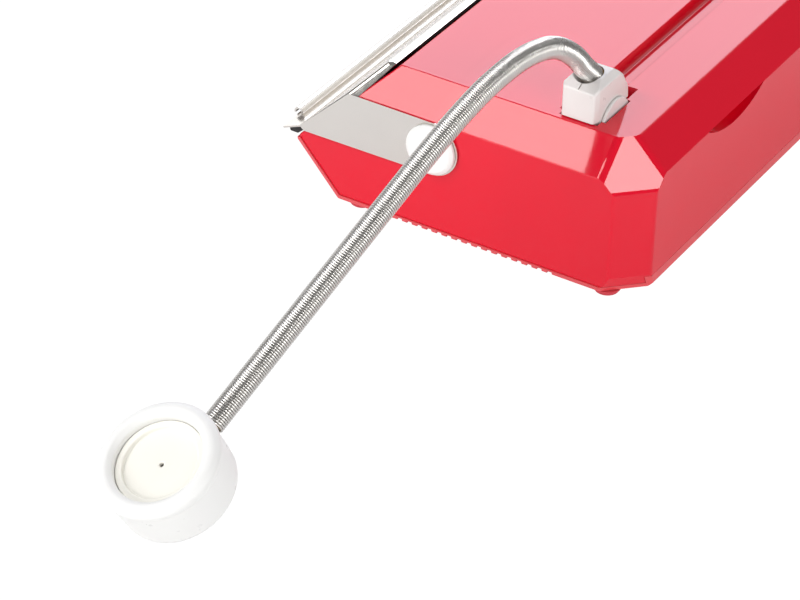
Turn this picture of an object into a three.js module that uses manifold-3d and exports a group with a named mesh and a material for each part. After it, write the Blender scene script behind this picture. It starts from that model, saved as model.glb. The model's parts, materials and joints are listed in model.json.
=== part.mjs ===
// Domestic vacuum sealer: a red moulded body with a stainless pivoting lid, a sealing bar and
// vacuum chamber under the lid, a piston vacuum pump inside, and a swivelling gooseneck hose
// that ends in a round cup for evacuating jars.
// Millimetres, +Z up. The front is -Y and the hose end is +X. The feet stand on z = 0.

import * as THREE from 'three';
import { ConvexGeometry } from 'three/addons/geometries/ConvexGeometry.js';
import { mergeVertices } from 'three/addons/utils/BufferGeometryUtils.js';
import Module from 'manifold-3d';

const wasm = await Module();
wasm.setup();

// ---------------------------------------------------------------- driving dimensions

const GAP = 0.3; // running and assembly gap between touching pieces
const HALF = 220; // end faces of the body, either side of its middle
const BACK = 137.5; // back wall
const DECK = 110; // top surface
const BOTTOM = 4; // underside of the tray, which is the height of the feet
const BEVEL = 21; // 45 degree bevel round the deck and the back corners
const CORNER_SUM = 416; // x + y + z on the facet that cuts each rear top corner
const WALL = 3;
const TRAY_WALL = 3.5;

const SLOPE_TOP = [-56.5, DECK]; // y, z where the deck turns down into the 45 degree front
const TIP = [-121.4, 45.1]; // y, z of the front edge of the housing
const TRAY_FRONT = [-124, 40]; // y, z at the top of the tray's undercut front
const TRAY_TOE = [-91, BOTTOM]; // y, z where the undercut meets the underside

const PIVOT = [-18.4, 69.5]; // y, z of the lid's pivot
const ARM_R = 19.7; // rounded rear end of a lid arm
const SHEET = 1.2; // lid sheet thickness
const ARM_IN = HALF + 0.4; // inner face of a lid arm
const ARM_OUT = ARM_IN + SHEET;
const LID_TOP = [-65.2, DECK + 0.9]; // y, z of the bend between lid plate and rear flange
const LID_FOOT = [-120, 52.6]; // y, z of the bend between lid plate and front lip
const LID_LIP = [-134.6, 46.6]; // y, z of the lip's edge
const LID_FLANGE_Y = -60.7; // rear edge of the flange
const CURL_R = 3.5; // rolled edge of the lip
const CURL_HALF = HALF - 17; // the roll stops short of the arms
const CAP_R = 18.3;
const CAP_H = 4.1;
const PIN_R = 5;

const TROUGH = { y0: 62.3, y1: 79.5, floor: 101.6, radius: 3.6 }; // channel that parks the hose
const SWIVEL = [171.5, 100.3]; // x, z of the hose block's axis
const SWIVEL_Y = 74.4; // middle of the hose block
const DISC_R = 18.7;
const DRUM_R = 20;
const POCKET = { x0: 138.8, x1: 194.5, y0: 60.4, y1: 88.4, floor: 79 };
const SLOT_OUT = 3; // how far the disc slots reach beyond the pocket

const HOSE_R = 7.5;
const HOSE_BORE = 5.8;
const HOSE_ROUTE = [ // centre line, from the block to the cup
  [176.2, 73.6, 134], [181, 73, 139.2], [187.5, 72, 146], [198, 70.4, 158], [212.2, 68.3, 169.4],
  [226, 66.2, 176], [241.4, 63.9, 179], [253, 62.1, 179.4], [265.3, 60.3, 178.4],
  [286, 57.2, 174.2], [305, 54.4, 168], [323, 51.7, 160.6], [340, 49.2, 152.7],
  [355.9, 46.8, 144.7], [387.1, 42.1, 128.4], [419, 37.3, 111.7], [450.9, 32.5, 95],
  [482.7, 27.7, 78.3], [514.6, 22.9, 61.6], [536.8, 19.6, 50],
];

const CUP_FACE = [583.6, 12.1, 54.5]; // middle of the cup's open face
const CUP_NORMAL = [0.482, -0.117, 0.868]; // out of the open face
const CUP_R = 40;
const CUP_BACK_R = 37.6;
const CUP_DEPTH = 40.5;
const CUP_RECESS_R = 28.8;
const CUP_RECESS = 9.5;
const CUP_ENTRY_DEPTH = 27.5; // depth below the face at which the hose enters

const MOTOR = { x0: 20, x1: 80, y: 20, z: 45, r: 18 };
const SHAFT_R = 3;
const CRANK_R = 6; // throw of the crank pin
const CYLINDER = { x: 99, y0: 42, y1: 74, r: 15, bore: 11.2 };

// ---------------------------------------------------------------- finishes

const finish = (color, roughness, metalness = 0) =>
  new THREE.MeshStandardMaterial({ color, roughness, metalness });

const RED = finish(0xd0101c, 0.16);
const RED_RUBBER = finish(0xb01018, 0.7);
const STEEL = finish(0xc9c8c4, 0.28, 1);
const BRUSHED = finish(0xb9b8b4, 0.4, 1);
const WHITE = finish(0xf4f3ef, 0.35);
const CREAM = finish(0xefece0, 0.5);
const BLACK_RUBBER = finish(0x17171a, 0.8);
const GREY = finish(0x8b8f94, 0.5);
const DARK = finish(0x2a2c30, 0.45);
const BRASS = finish(0xb08d46, 0.35, 1);
const TAPE = finish(0x7a5a38, 0.6);
const COPPER = finish(0xb5652f, 0.4, 1);
const BOARD = finish(0x1f6b3a, 0.5);
const LAMP = finish(0xff5a3c, 0.2);
const CLEAR_RUBBER = finish(0xd9d6cc, 0.5);

// ---------------------------------------------------------------- shapes

const outline = (points) => new THREE.Shape(points.map(([u, v]) => new THREE.Vector2(u, v)));

function arc(cu, cv, r, from, to, steps) {
  const points = [];
  for (let i = 0; i <= steps; i += 1) {
    const a = THREE.MathUtils.degToRad(from + ((to - from) * i) / steps);
    points.push([cu + r * Math.cos(a), cv + r * Math.sin(a)]);
  }
  return points;
}

const circle = (cu, cv, r, sides) => arc(cu, cv, r, 0, 360 - 360 / sides, sides - 1);

function extrude(points, depth, basis) {
  const geometry = new THREE.ExtrudeGeometry(outline(points), { depth, bevelEnabled: false });
  return geometry.applyMatrix4(new THREE.Matrix4().makeBasis(...basis));
}

const AX = new THREE.Vector3(1, 0, 0);
const AY = new THREE.Vector3(0, 1, 0);
const AZ = new THREE.Vector3(0, 0, 1);

// an outline of y, z carried along X
const alongX = (points, x0, x1) => extrude(points, x1 - x0, [AY, AZ, AX]).translate(x0, 0, 0);
// an outline of x, z carried along Y
const alongY = (points, y0, y1) =>
  extrude(points, y1 - y0, [AX, AZ, AY.clone().negate()]).translate(0, y1, 0);
// an outline of x, y carried along Z
const alongZ = (points, z0, z1) => extrude(points, z1 - z0, [AX, AY, AZ]).translate(0, 0, z0);

const box = (x0, x1, y0, y1, z0, z1) =>
  new THREE.BoxGeometry(x1 - x0, y1 - y0, z1 - z0)
    .translate((x0 + x1) / 2, (y0 + y1) / 2, (z0 + z1) / 2);

// a profile of radius, height turned round +Z
function turned(profile, sides) {
  const points = profile.map(([r, h]) => new THREE.Vector2(r, h));
  return new THREE.LatheGeometry(points, sides).rotateX(Math.PI / 2);
}

const closed = (profile) => [...profile, profile[0]];

function tube(points, radius, bore, sides, steps) {
  const curve = new THREE.CatmullRomCurve3(points.map((p) => new THREE.Vector3(...p)));
  const shape = outline(circle(0, 0, radius, sides));
  if (bore > 0) shape.holes.push(outline(circle(0, 0, bore, sides).reverse()));
  return new THREE.ExtrudeGeometry(shape, { steps, extrudePath: curve, bevelEnabled: false });
}

// ---------------------------------------------------------------- cutting and joining

function toSolid(geometry) {
  const bare = geometry.clone();
  bare.deleteAttribute('normal');
  bare.deleteAttribute('uv');
  const merged = mergeVertices(bare, 1e-4);
  const mesh = new wasm.Mesh({
    numProp: 3,
    vertProperties: new Float32Array(merged.attributes.position.array),
    triVerts: new Uint32Array(merged.index.array),
  });
  return new wasm.Manifold(mesh);
}

function toGeometry(solid) {
  const mesh = solid.getMesh();
  const geometry = new THREE.BufferGeometry();
  geometry.setAttribute('position', new THREE.BufferAttribute(mesh.vertProperties, 3));
  geometry.setIndex(new THREE.BufferAttribute(mesh.triVerts, 1));
  const flat = geometry.toNonIndexed();
  flat.computeVertexNormals();
  return flat;
}

function cut(geometry, ...tools) {
  return toGeometry(tools.reduce((rest, tool) => rest.subtract(toSolid(tool)), toSolid(geometry)));
}

function join(geometry, ...others) {
  return toGeometry(others.reduce((sum, other) => sum.add(toSolid(other)), toSolid(geometry)));
}

// everything on the far side of the plane through `point` with outward normal `normal`
function beyond(point, normal) {
  const size = 1200;
  const turn = new THREE.Quaternion()
    .setFromUnitVectors(AZ, new THREE.Vector3(...normal).normalize());
  return new THREE.BoxGeometry(size, size, size).translate(0, 0, size / 2)
    .applyQuaternion(turn).translate(...point);
}

const both = (make) => [make(1), make(-1)];

// ---------------------------------------------------------------- body shell

// the 45 degree bevels and the corner facets, moved in by `inset`
function bodyBevels(inset) {
  const k = inset * Math.SQRT2;
  const k3 = inset * Math.sqrt(3);
  return both((side) => [
    beyond([side * (HALF - BEVEL - k), 0, DECK], [side, 0, 1]),
    beyond([side * HALF, BACK - BEVEL - k, 0], [side, 1, 0]),
    beyond([side * (CORNER_SUM - BACK - k3), BACK, 0], [side, 1, 1]),
  ]).flat();
}

// everything the walls enclose, open below and in front of the tray
function cavity() {
  const k = WALL * Math.SQRT2;
  const inner = alongX([
    [BACK - WALL, -10], [BACK - WALL, DECK - BEVEL - k + WALL],
    [BACK - BEVEL - k + WALL, DECK - WALL], [SLOPE_TOP[0] - k + WALL, DECK - WALL],
    [SLOPE_TOP[0] - k + WALL - 90, DECK - WALL - 90], [-160, -10],
  ], -HALF + WALL, HALF - WALL);
  const channel = box(-HALF - 1, POCKET.x0 - 2.8, TROUGH.y0 - WALL, TROUGH.y1 + WALL, 98.6, DECK);
  const rearWall = box(-192, -103, BACK - REAR.wall, BACK, 24, 66);
  return cut(inner, ...bodyBevels(WALL), channel, rearWall, ...both(scoopWall));
}

// finger scoops in the top edge of the back wall
const SCOOP = { x: 90, half: 40, top: DECK - BEVEL, depth: 10.5, inward: 8 };

function scoopOutline(grow) {
  const r = (SCOOP.half ** 2 + SCOOP.depth ** 2) / (2 * SCOOP.depth);
  const spread = THREE.MathUtils.radToDeg(Math.asin(SCOOP.half / r));
  return arc(0, SCOOP.top - SCOOP.depth + r, r + grow, 270 - spread, 270 + spread, 12);
}

const scoop = (side) =>
  alongY(scoopOutline(0), BACK - SCOOP.inward, BACK + 1).translate(side * SCOOP.x, 0, 0);

const scoopWall = (side) =>
  box(-SCOOP.half - 2, SCOOP.half + 2, BACK - SCOOP.inward - 2.5, BACK, 75, 93)
    .translate(side * SCOOP.x, 0, 0);

const trough = () => alongX([
  [TROUGH.y0, DECK + 1],
  ...arc(TROUGH.y0 + TROUGH.radius, TROUGH.floor + TROUGH.radius, TROUGH.radius, 180, 270, 4),
  ...arc(TROUGH.y1 - TROUGH.radius, TROUGH.floor + TROUGH.radius, TROUGH.radius, 270, 360, 4),
  [TROUGH.y1, DECK + 1],
], -HALF - 5, POCKET.x0 + 1);

// the space the hose block turns in
const pocket = () => box(POCKET.x0, POCKET.x1, POCKET.y0, POCKET.y1, POCKET.floor, DECK + 1);

const discSlots = () => box(
  SWIVEL[0] - DISC_R - 0.8, SWIVEL[0] + DISC_R + 0.8,
  POCKET.y0 - SLOT_OUT, POCKET.y1 + SLOT_OUT, POCKET.floor, DECK + 1);

// the 45 degree front is worked in its own frame: x, distance up the slope, height above it
const slope = new THREE.Group();
slope.position.set(0, ...SLOPE_TOP);
slope.rotation.x = Math.PI / 4;
slope.updateMatrixWorld(true);
const onSlope = (geometry) => geometry.applyMatrix4(slope.matrixWorld);

const CHAMBER = { half: 165, s0: 12, s1: 34, depth: 14 };
const SEAL_BAR = { half: 162, s0: 52, s1: 64, top: 1.2 };

const PANEL = { x0: -170, x1: -60, y0: -30, y1: 30, depth: 1.5 };
const BUTTON = { r: 9, vacuum: [-140, -4], seal: [-92, -4], lampY: 18, lampR: 2.6 };
const SWITCH = { x: -172, z: 45 };
const INLET = { x: -125, z: 45 };
const REAR = { depth: 2.3, wall: 6 }; // recess round the switch and the mains inlet
const SCREWS = [[180, 102], [-180, 102], [180, -60], [-180, -60]];
const FEET = { front_right: [209, -78], front_left: [-209, -78],
  rear_right: [209, 111], rear_left: [-209, 111] };

function upperHousing() {
  const outer = cut(alongX([
    [BACK, 14.3], [BACK, DECK - BEVEL], [BACK - BEVEL, DECK], SLOPE_TOP,
    TIP, [-121.2, 42.6], [-89.3, BOTTOM + TRAY_WALL + GAP],
    [BACK - TRAY_WALL - GAP, BOTTOM + TRAY_WALL + GAP], [BACK - TRAY_WALL - GAP, 14.3],
  ], -HALF, HALF), ...bodyBevels(0));
  const shell = cut(outer, cavity());
  const posts = SCREWS.map(([x, y]) =>
    alongZ(circle(x, y, 5, 10), BOTTOM + TRAY_WALL + GAP, y > 0 ? DECK - 1 : 101));
  const holes = [
    ...SCREWS.map(([x, y]) => alongZ(circle(x, y, 2.2, 8), 0, 30)),
    ...both((side) => alongX(circle(...PIVOT, PIN_R + 0.4, 16), side * HALF - 6, side * HALF + 6)),
    trough(), pocket(), discSlots(), ...both(scoop),
    onSlope(box(-CHAMBER.half - GAP, CHAMBER.half + GAP, -CHAMBER.s1, -CHAMBER.s0, -12, 5)),
    onSlope(box(-SEAL_BAR.half - GAP, SEAL_BAR.half + GAP,
      -SEAL_BAR.s1 - GAP, -SEAL_BAR.s0 + GAP, -12, 5)),
    box(PANEL.x0 - GAP, PANEL.x1 + GAP, PANEL.y0 - GAP, PANEL.y1 + GAP, DECK - PANEL.depth, DECK + 1),
    ...[BUTTON.vacuum, BUTTON.seal].flatMap(([x, y]) => [
      alongZ(circle(x, y, BUTTON.r + 0.6, 20), 100, DECK + 1),
      alongZ(circle(x, BUTTON.lampY, BUTTON.lampR + GAP, 10), 100, DECK + 1),
    ]),
    box(SWITCH.x - 14 - GAP, SWITCH.x + 14 + GAP, BACK - REAR.depth, BACK + 1,
      SWITCH.z - 16 - GAP, SWITCH.z + 16 + GAP),
    box(INLET.x - 16 - GAP, INLET.x + 16 + GAP, BACK - REAR.depth, BACK + 1,
      INLET.z - 11 - GAP, INLET.z + 11 + GAP),
    box(SWITCH.x - 11, SWITCH.x + 11, 110, BACK, SWITCH.z - 13, SWITCH.z + 13),
    box(INLET.x - 13 - GAP, INLET.x + 13 + GAP, 110, BACK, INLET.z - 8 - GAP, INLET.z + 8 + GAP),
  ];
  return cut(join(shell, ...posts), ...holes);
}

function baseTray() {
  const [fy, fz] = TRAY_FRONT;
  const [ty, tz] = TRAY_TOE;
  const run = Math.hypot(fy - ty, fz - tz);
  const shift = [((fz - tz) / run) * TRAY_WALL, ((ty - fy) / run) * TRAY_WALL];
  const toeIn = ty + shift[0] - ((TRAY_WALL - shift[1]) * (ty - fy)) / (fz - tz);
  const profile = [
    [BACK, 14], [BACK, BOTTOM + 3], [BACK - 3, BOTTOM], TRAY_TOE, TRAY_FRONT,
    [fy + 0.4, fz + 2.2], [fy + shift[0], fz + shift[1]], [toeIn, BOTTOM + TRAY_WALL],
    [BACK - TRAY_WALL, BOTTOM + TRAY_WALL], [BACK - TRAY_WALL, 14],
  ].reverse();
  const tray = cut(alongX(profile, -HALF - 1, HALF + 1),
    ...both((side) => beyond([side * (HALF + 0.6), BACK - BEVEL, 0], [side, 1, 0])));
  const vents = [];
  for (let i = 0; i < 16; i += 1) {
    const y = -42 + i * 7.7;
    vents.push(...both((side) => box(side * 205 - 17, side * 205 + 17, y - 1.9, y + 1.9, 0, 6)
      .translate(side * 2, 0, 0)));
  }
  const holes = SCREWS.flatMap(([x, y]) => [
    alongZ(circle(x, y, 4.4, 10), 0, 6), alongZ(circle(x, y, 2.3, 8), 0, 10)]);
  return cut(tray, ...vents, ...holes);
}

const foot = ([x, y]) => turned([
  [0, 0], [7.5, 0], [8.6, 0.5], [9.5, 2.6], [9.5, BOTTOM - GAP], [0, BOTTOM - GAP],
], 18).translate(x, y, 0);

const baseScrew = ([x, y]) => turned([
  [0, BOTTOM + 0.2], [4, BOTTOM + 0.2], [4, BOTTOM + 1.7], [1.9, BOTTOM + 1.7], [1.9, 20], [0, 20],
], 10).translate(x, y, 0);

// ---------------------------------------------------------------- sealing front

const vacuumChamber = () => {
  const { half, s0, s1, depth } = CHAMBER;
  return cut(
    box(-half, half, -s1 + GAP, -s0 - GAP, -depth, 0),
    box(-half + 2, half - 2, -s1 + 2.3, -s0 - 2.3, -depth + 2, 1),
    alongZ(circle(-120, -23, 3, 10), -20, 0));
};

function ring(grow, width, z0, z1) {
  const { half, s0, s1 } = CHAMBER;
  const loop = (g, r) => {
    const [x, lo, hi] = [half + g, -s1 - g, -s0 + g];
    return [
      ...arc(x - r, hi - r, r, 0, 90, 4), ...arc(-x + r, hi - r, r, 90, 180, 4),
      ...arc(-x + r, lo + r, r, 180, 270, 4), ...arc(x - r, lo + r, r, 270, 360, 4),
    ];
  };
  return cut(alongZ(loop(grow + width, 5), z0, z1), alongZ(loop(grow, 2), z0 - 1, z1 + 1));
}

const sealBar = () => box(-SEAL_BAR.half, SEAL_BAR.half, -SEAL_BAR.s1, -SEAL_BAR.s0, -8, SEAL_BAR.top);
const stripOnBar = (half, wide, z0, z1) => {
  const middle = -(SEAL_BAR.s0 + SEAL_BAR.s1) / 2;
  return box(-half, half, middle - wide / 2, middle + wide / 2, z0, z1);
};

// ---------------------------------------------------------------- lid

function lid() {
  const [ty, tz] = LID_TOP;
  const [fy, fz] = LID_FOOT;
  const [ly, lz] = LID_LIP;
  const plate = alongX([
    [LID_FLANGE_Y, tz], [ty, tz], [fy, fz], [ly, lz],
    [ly + 0.5, lz - SHEET], [fy + 0.7, fz - SHEET], [ty + 0.6, tz - SHEET], [LID_FLANGE_Y, tz - SHEET],
  ], -ARM_OUT, ARM_OUT);
  const trimmed = cut(plate, ...both((side) =>
    beyond([side * (HALF - BEVEL + 2.5), 0, DECK], [side, 0, 1])));
  const topY = ty + ((90.4 - tz) * (fy - ty)) / (fz - tz);
  const armOutline = [
    [fy, fz], [fy + 2, fz - 2.8], ...arc(...PIVOT, ARM_R, 270, 450, 14), [topY, 90.4],
  ];
  const arms = both((side) => cut(
    alongX(armOutline, side > 0 ? ARM_IN : -ARM_OUT, side > 0 ? ARM_OUT : -ARM_IN),
    alongX(circle(...PIVOT, PIN_R + 1, 16), side * ARM_IN - 5, side * ARM_IN + 5)));
  const curlCentre = [ly + 0.6, lz + CURL_R - 0.9];
  const curl = cut(alongX(circle(...curlCentre, CURL_R, 12), -CURL_HALF, CURL_HALF),
    alongX(circle(...curlCentre, CURL_R - SHEET, 10), -HALF, HALF));
  return join(trimmed, ...arms, curl);
}

const frontSeal = () => alongX([
  [-118.9, 50.6], [-120.3, 47.2], [-124.4, 43.6], [-130.6, 43.6], [-131, 46.3], [-120.2, 50.7],
], -HALF + 1.5, HALF - 1.5);

const turnedX = (profile, sides, side) => turned(profile, sides).rotateY((side * Math.PI) / 2)
  .translate(0, ...PIVOT);

const pivotCap = (side) => turnedX([
  [0, ARM_OUT + GAP], [CAP_R - 1.8, ARM_OUT + GAP], [CAP_R, ARM_OUT + GAP + 1.2],
  [CAP_R, ARM_OUT + GAP + 2.2], [CAP_R - 1.6, ARM_OUT + GAP + CAP_H - 0.4],
  [CAP_R - 3.2, ARM_OUT + GAP + CAP_H], [0, ARM_OUT + GAP + CAP_H],
], 32, side);

const pivotPin = (side) => turnedX([
  [0, HALF - 22], [PIN_R - 0.8, HALF - 22], [PIN_R, HALF - 21], [PIN_R, ARM_OUT], [0, ARM_OUT],
], 16, side);

const pivotCollar = (side) => turnedX(closed([
  [PIN_R + GAP, HALF - 14], [10, HALF - 14], [10, HALF - WALL - GAP], [PIN_R + GAP, HALF - WALL - GAP],
]), 16, side);

// ---------------------------------------------------------------- hose socket and swivel block

function hoseSocket() {
  const body = box(POCKET.x0 - 2.5, POCKET.x1 + 2.5, POCKET.y0 - 6, POCKET.y1 + 6,
    POCKET.floor - 2.5, DECK - WALL - GAP);
  const nipple = alongZ(circle(SWIVEL[0], SWIVEL_Y, 4, 10), POCKET.floor - 9, POCKET.floor - 1);
  const bore = alongZ(circle(SWIVEL[0], SWIVEL_Y, 2.4, 8), POCKET.floor - 12, POCKET.floor + 2);
  const channel = box(POCKET.x0 - 4, POCKET.x0 + 1, TROUGH.y0 - WALL - GAP, TROUGH.y1 + WALL + GAP,
    98.3, DECK);
  return cut(join(body, nipple), pocket(), discSlots(), bore, channel);
}

function hoseBlock() {
  const [px, pz] = SWIVEL;
  const [y0, y1] = [61.3, 87.5];
  const head = [];
  [[y0, y1, 0], [y0 + 4, y1 - 4, 1]].forEach(([a, b, top]) => {
    const face = top
      ? [[194, 133.6], [185, 138.2], [167, 138.2], [159, 131.5]]
      : [[191, 110.8], [191, 128], [183, 135], [167, 135], [158, 130], [152.6, 122], [151.6, 111]];
    face.forEach(([x, z]) => head.push([x, a, z], [x, b, z]));
  });
  [[196, 110.8], [196, 132.4]].forEach(([x, z]) => head.push([x, y0 + 1, z], [x, y1 - 1.5, z]));
  const headSolid = new ConvexGeometry(head.map((p) => new THREE.Vector3(...p)));
  const drum = alongY(circle(px, pz, DRUM_R, 28), y0, y1);
  const start = new THREE.Vector3(...HOSE_ROUTE[0]);
  const lean = new THREE.Vector3(...HOSE_ROUTE[1]).sub(start).normalize();
  const turn = new THREE.Quaternion().setFromUnitVectors(AZ, lean);
  const socket = turned([
    [0, -9], [HOSE_R + 0.4, -9], [HOSE_R + 0.4, -1], [HOSE_R + 4.5, 12], [0, 12],
  ], 18).applyQuaternion(turn).translate(...start.toArray());
  const duct = alongZ(circle(px, SWIVEL_Y, 3, 8), 70, 132);
  return cut(join(headSolid, drum), socket, duct);
}

const trunnionDisc = (y0, y1) =>
  alongY(circle(...SWIVEL, DISC_R, 28), y0, y1);

const hoseFerrule = () => {
  const start = new THREE.Vector3(...HOSE_ROUTE[0]);
  const lean = new THREE.Vector3(...HOSE_ROUTE[1]).sub(start).normalize();
  const turn = new THREE.Quaternion().setFromUnitVectors(AZ, lean);
  return turned(closed([[3.2, -8.7], [HOSE_R, -8.7], [HOSE_R, -GAP], [3.2, -GAP]]), 16)
    .applyQuaternion(turn).translate(...start.toArray());
};

// ---------------------------------------------------------------- jar cup

const cup = new THREE.Group();
cup.position.set(...CUP_FACE);
cup.quaternion.setFromUnitVectors(AZ, new THREE.Vector3(...CUP_NORMAL).normalize());
cup.updateMatrixWorld(true);

// the hose's last stretch seen from the cup
const entry = new THREE.Vector3(...HOSE_ROUTE.at(-1));
const entryDirection = new THREE.Vector3(...HOSE_ROUTE.at(-1))
  .sub(new THREE.Vector3(...HOSE_ROUTE.at(-2))).normalize();

function alongEntry(profile, sides) {
  const turn = new THREE.Quaternion().setFromUnitVectors(AZ, entryDirection);
  return turned(profile, sides).applyQuaternion(turn).translate(...entry.toArray())
    .applyMatrix4(cup.matrixWorld.clone().invert());
}

const cupBody = () => cut(turned([
  [0, -CUP_DEPTH], [CUP_BACK_R - 2, -CUP_DEPTH], [CUP_BACK_R, -CUP_DEPTH + 2],
  [CUP_R - 0.4, -8.3], [34, -8.3], [34, -13.1], [31, -13.1], [31, -15.5], [35, -18.5],
  [34.6, -CUP_DEPTH + 3], [0, -CUP_DEPTH + 3],
], 40), alongEntry([[0, -6], [HOSE_R + 0.6, -6], [HOSE_R + 0.6, 8], [0, 8]], 14));

const cupSeal = () => turned(closed([
  [CUP_RECESS_R, -CUP_RECESS + 0.3], [33.7, -CUP_RECESS + 0.3], [33.7, -8], [CUP_R - 0.4, -8],
  [CUP_R, -5], [CUP_R - 0.8, -2], [CUP_R - 3, -0.3], [CUP_R - 5, 0],
  [CUP_RECESS_R + 3, -0.3], [CUP_RECESS_R + 0.8, -1.4], [CUP_RECESS_R, -3.4],
]), 40);

const cupDisc = () => turned(closed([
  [1.5, -CUP_RECESS - 3], [33.7, -CUP_RECESS - 3], [33.7, -CUP_RECESS],
  [CUP_RECESS_R - 0.4, -CUP_RECESS], [CUP_RECESS_R - 0.4, -CUP_RECESS + 0.2], [1.5, -CUP_RECESS + 0.2],
]), 32);

const cupFerrule = () => alongEntry(closed([
  [3.2, GAP], [HOSE_R, GAP], [HOSE_R, 7], [3.2, 7],
]), 14);

// ---------------------------------------------------------------- controls and mains

const controlPanel = () => cut(
  box(PANEL.x0, PANEL.x1, PANEL.y0, PANEL.y1, DECK - PANEL.depth + GAP, DECK),
  ...[BUTTON.vacuum, BUTTON.seal].flatMap(([x, y]) => [
    alongZ(circle(x, y, BUTTON.r + 0.6, 20), 100, DECK + 1),
    alongZ(circle(x, BUTTON.lampY, BUTTON.lampR + GAP, 10), 100, DECK + 1),
  ]));

const button = ([x, y]) => turned([
  [0, 95], [4, 95], [4, 103], [BUTTON.r, 103], [BUTTON.r, DECK + 1.6],
  [BUTTON.r - 1, DECK + 2.4], [0, DECK + 2.4],
], 20).translate(x, y, 0);

const lamp = ([x]) => turned([
  [0, 93], [BUTTON.lampR, 93], [BUTTON.lampR, DECK], [BUTTON.lampR - 0.8, DECK + 0.8], [0, DECK + 1],
], 10).translate(x, BUTTON.lampY, 0);

const circuitBoard = () => box(-172, -58, -32, 34, 88, 89.6);

const tactSwitch = ([x, y]) => box(x - 3, x + 3, y - 3, y + 3, 89.9, 92.4);

const switchFrame = () => cut(
  box(SWITCH.x - 14, SWITCH.x + 14, BACK - REAR.depth + GAP, BACK, SWITCH.z - 16, SWITCH.z + 16),
  box(SWITCH.x - 9.6, SWITCH.x + 9.6, BACK - 4, BACK + 1, SWITCH.z - 11.5, SWITCH.z + 11.5));

// pressed at the bottom, which is off
const rocker = () => alongX([
  [BACK - 13, SWITCH.z - 4], [BACK - 13, SWITCH.z + 4], [BACK - 6, SWITCH.z + 9.5],
  [BACK - 0.2, SWITCH.z + 9.2], [BACK - 2, SWITCH.z], [BACK - 3, SWITCH.z - 10],
  [BACK - 7, SWITCH.z - 9.5],
].reverse(), SWITCH.x - 9, SWITCH.x + 9);

const powerInlet = () => cut(
  join(
    box(INLET.x - 13, INLET.x + 13, BACK - 20, BACK - 1, INLET.z - 8, INLET.z + 8),
    box(INLET.x - 16, INLET.x + 16, BACK - REAR.depth + GAP, BACK, INLET.z - 11, INLET.z + 11)),
  box(INLET.x - 8.5, INLET.x + 8.5, BACK - 14, BACK + 1, INLET.z - 4.6, INLET.z + 4.6));

const inletPin = (side) =>
  alongY(circle(INLET.x + side * 4.3, INLET.z, 1.2, 8), BACK - 13.7, BACK - 4);

const transformerCore = () => cut(
  box(-62, -10, 0, 44, 8.2, 52), box(-50, -40, -1, 45, 18, 42), box(-32, -22, -1, 45, 18, 42));

const transformerCoil = () => cut(
  box(-49.5, -22.5, -5, 49, 18.5, 41.5), box(-40.3, -31.7, -0.3, 44.3, 15, 45));

// ---------------------------------------------------------------- vacuum pump

const pumpMotor = () => {
  const { x0, x1, y, z, r } = MOTOR;
  return cut(alongX(circle(y, z, r, 20), x0, x1), alongX(circle(y, z, SHAFT_R + 0.4, 10), x0 - 1, x1 + 1));
};

const motorShaft = () => alongX(circle(MOTOR.y, MOTOR.z, SHAFT_R, 10), MOTOR.x0 - 14, MOTOR.x1 + 6.7);

function coolingFan() {
  const x0 = MOTOR.x0 - 12;
  const hub = alongX(circle(MOTOR.y, MOTOR.z, 7, 12), x0, x0 + 8);
  const blades = [];
  for (let i = 0; i < 6; i += 1) {
    blades.push(new THREE.BoxGeometry(1.6, 6.4, 17).translate(0, 0, 13).rotateZ(0.6)
      .rotateX((i * Math.PI) / 3).translate(x0 + 4, MOTOR.y, MOTOR.z));
  }
  return cut(join(hub, ...blades),
    alongX(circle(MOTOR.y, MOTOR.z, SHAFT_R + GAP, 10), x0 - 5, x0 + 15));
}

function pumpCrank() {
  const x0 = MOTOR.x1 + 7;
  return join(
    alongX(circle(MOTOR.y, MOTOR.z, 13, 20), x0, x0 + 6),
    alongX(circle(MOTOR.y + CRANK_R, MOTOR.z, 2.5, 10), x0 + 5, x0 + 16));
}

function pumpFrame() {
  const wall = box(MOTOR.x1 + 1, MOTOR.x1 + 4, -4, 62, 8.1, 66);
  const shelf = box(MOTOR.x1 + 1, 116, 46, 62, 8.1, 60);
  return cut(join(wall, shelf),
    alongX(circle(MOTOR.y, MOTOR.z, 6, 14), MOTOR.x1, MOTOR.x1 + 5),
    alongY(circle(CYLINDER.x, MOTOR.z, CYLINDER.r + GAP, 24), 40, 70));
}

const pumpCylinder = () => cut(
  alongY(circle(CYLINDER.x, MOTOR.z, CYLINDER.r, 24), CYLINDER.y0, CYLINDER.y1),
  alongY(circle(CYLINDER.x, MOTOR.z, CYLINDER.bore, 24), CYLINDER.y0 - 1, CYLINDER.y1 + 1));

const pumpHead = () => join(
  alongY(circle(CYLINDER.x, MOTOR.z, CYLINDER.r, 24), CYLINDER.y1 + GAP, CYLINDER.y1 + 8),
  alongY(circle(CYLINDER.x + 6, MOTOR.z, 3, 10), CYLINDER.y1 + 7, CYLINDER.y1 + 16),
  alongY(circle(CYLINDER.x - 6, MOTOR.z, 3, 10), CYLINDER.y1 + 7, CYLINDER.y1 + 16));

const piston = () => alongY(circle(CYLINDER.x, MOTOR.z, CYLINDER.bore - 0.3, 24), 44, 54);

const pistonRod = () => alongY(circle(CYLINDER.x, MOTOR.z, 3, 10), 30, 43.7);

const suctionTube = () => tube([
  [105, 91.2, 45], [105, 96, 45], [109, 103, 45], [120, 107, 44], [137, 106, 42], [156, 96, 43],
  [168, 82, 49], [SWIVEL[0], SWIVEL_Y, 60], [SWIVEL[0], SWIVEL_Y, 69.4],
], 4, 0, 8, 24);

// ---------------------------------------------------------------- assembly

const machine = new THREE.Group();

function add(parent, name, geometry, material) {
  const mesh = new THREE.Mesh(geometry, material);
  mesh.name = name;
  parent.add(mesh);
}

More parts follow.
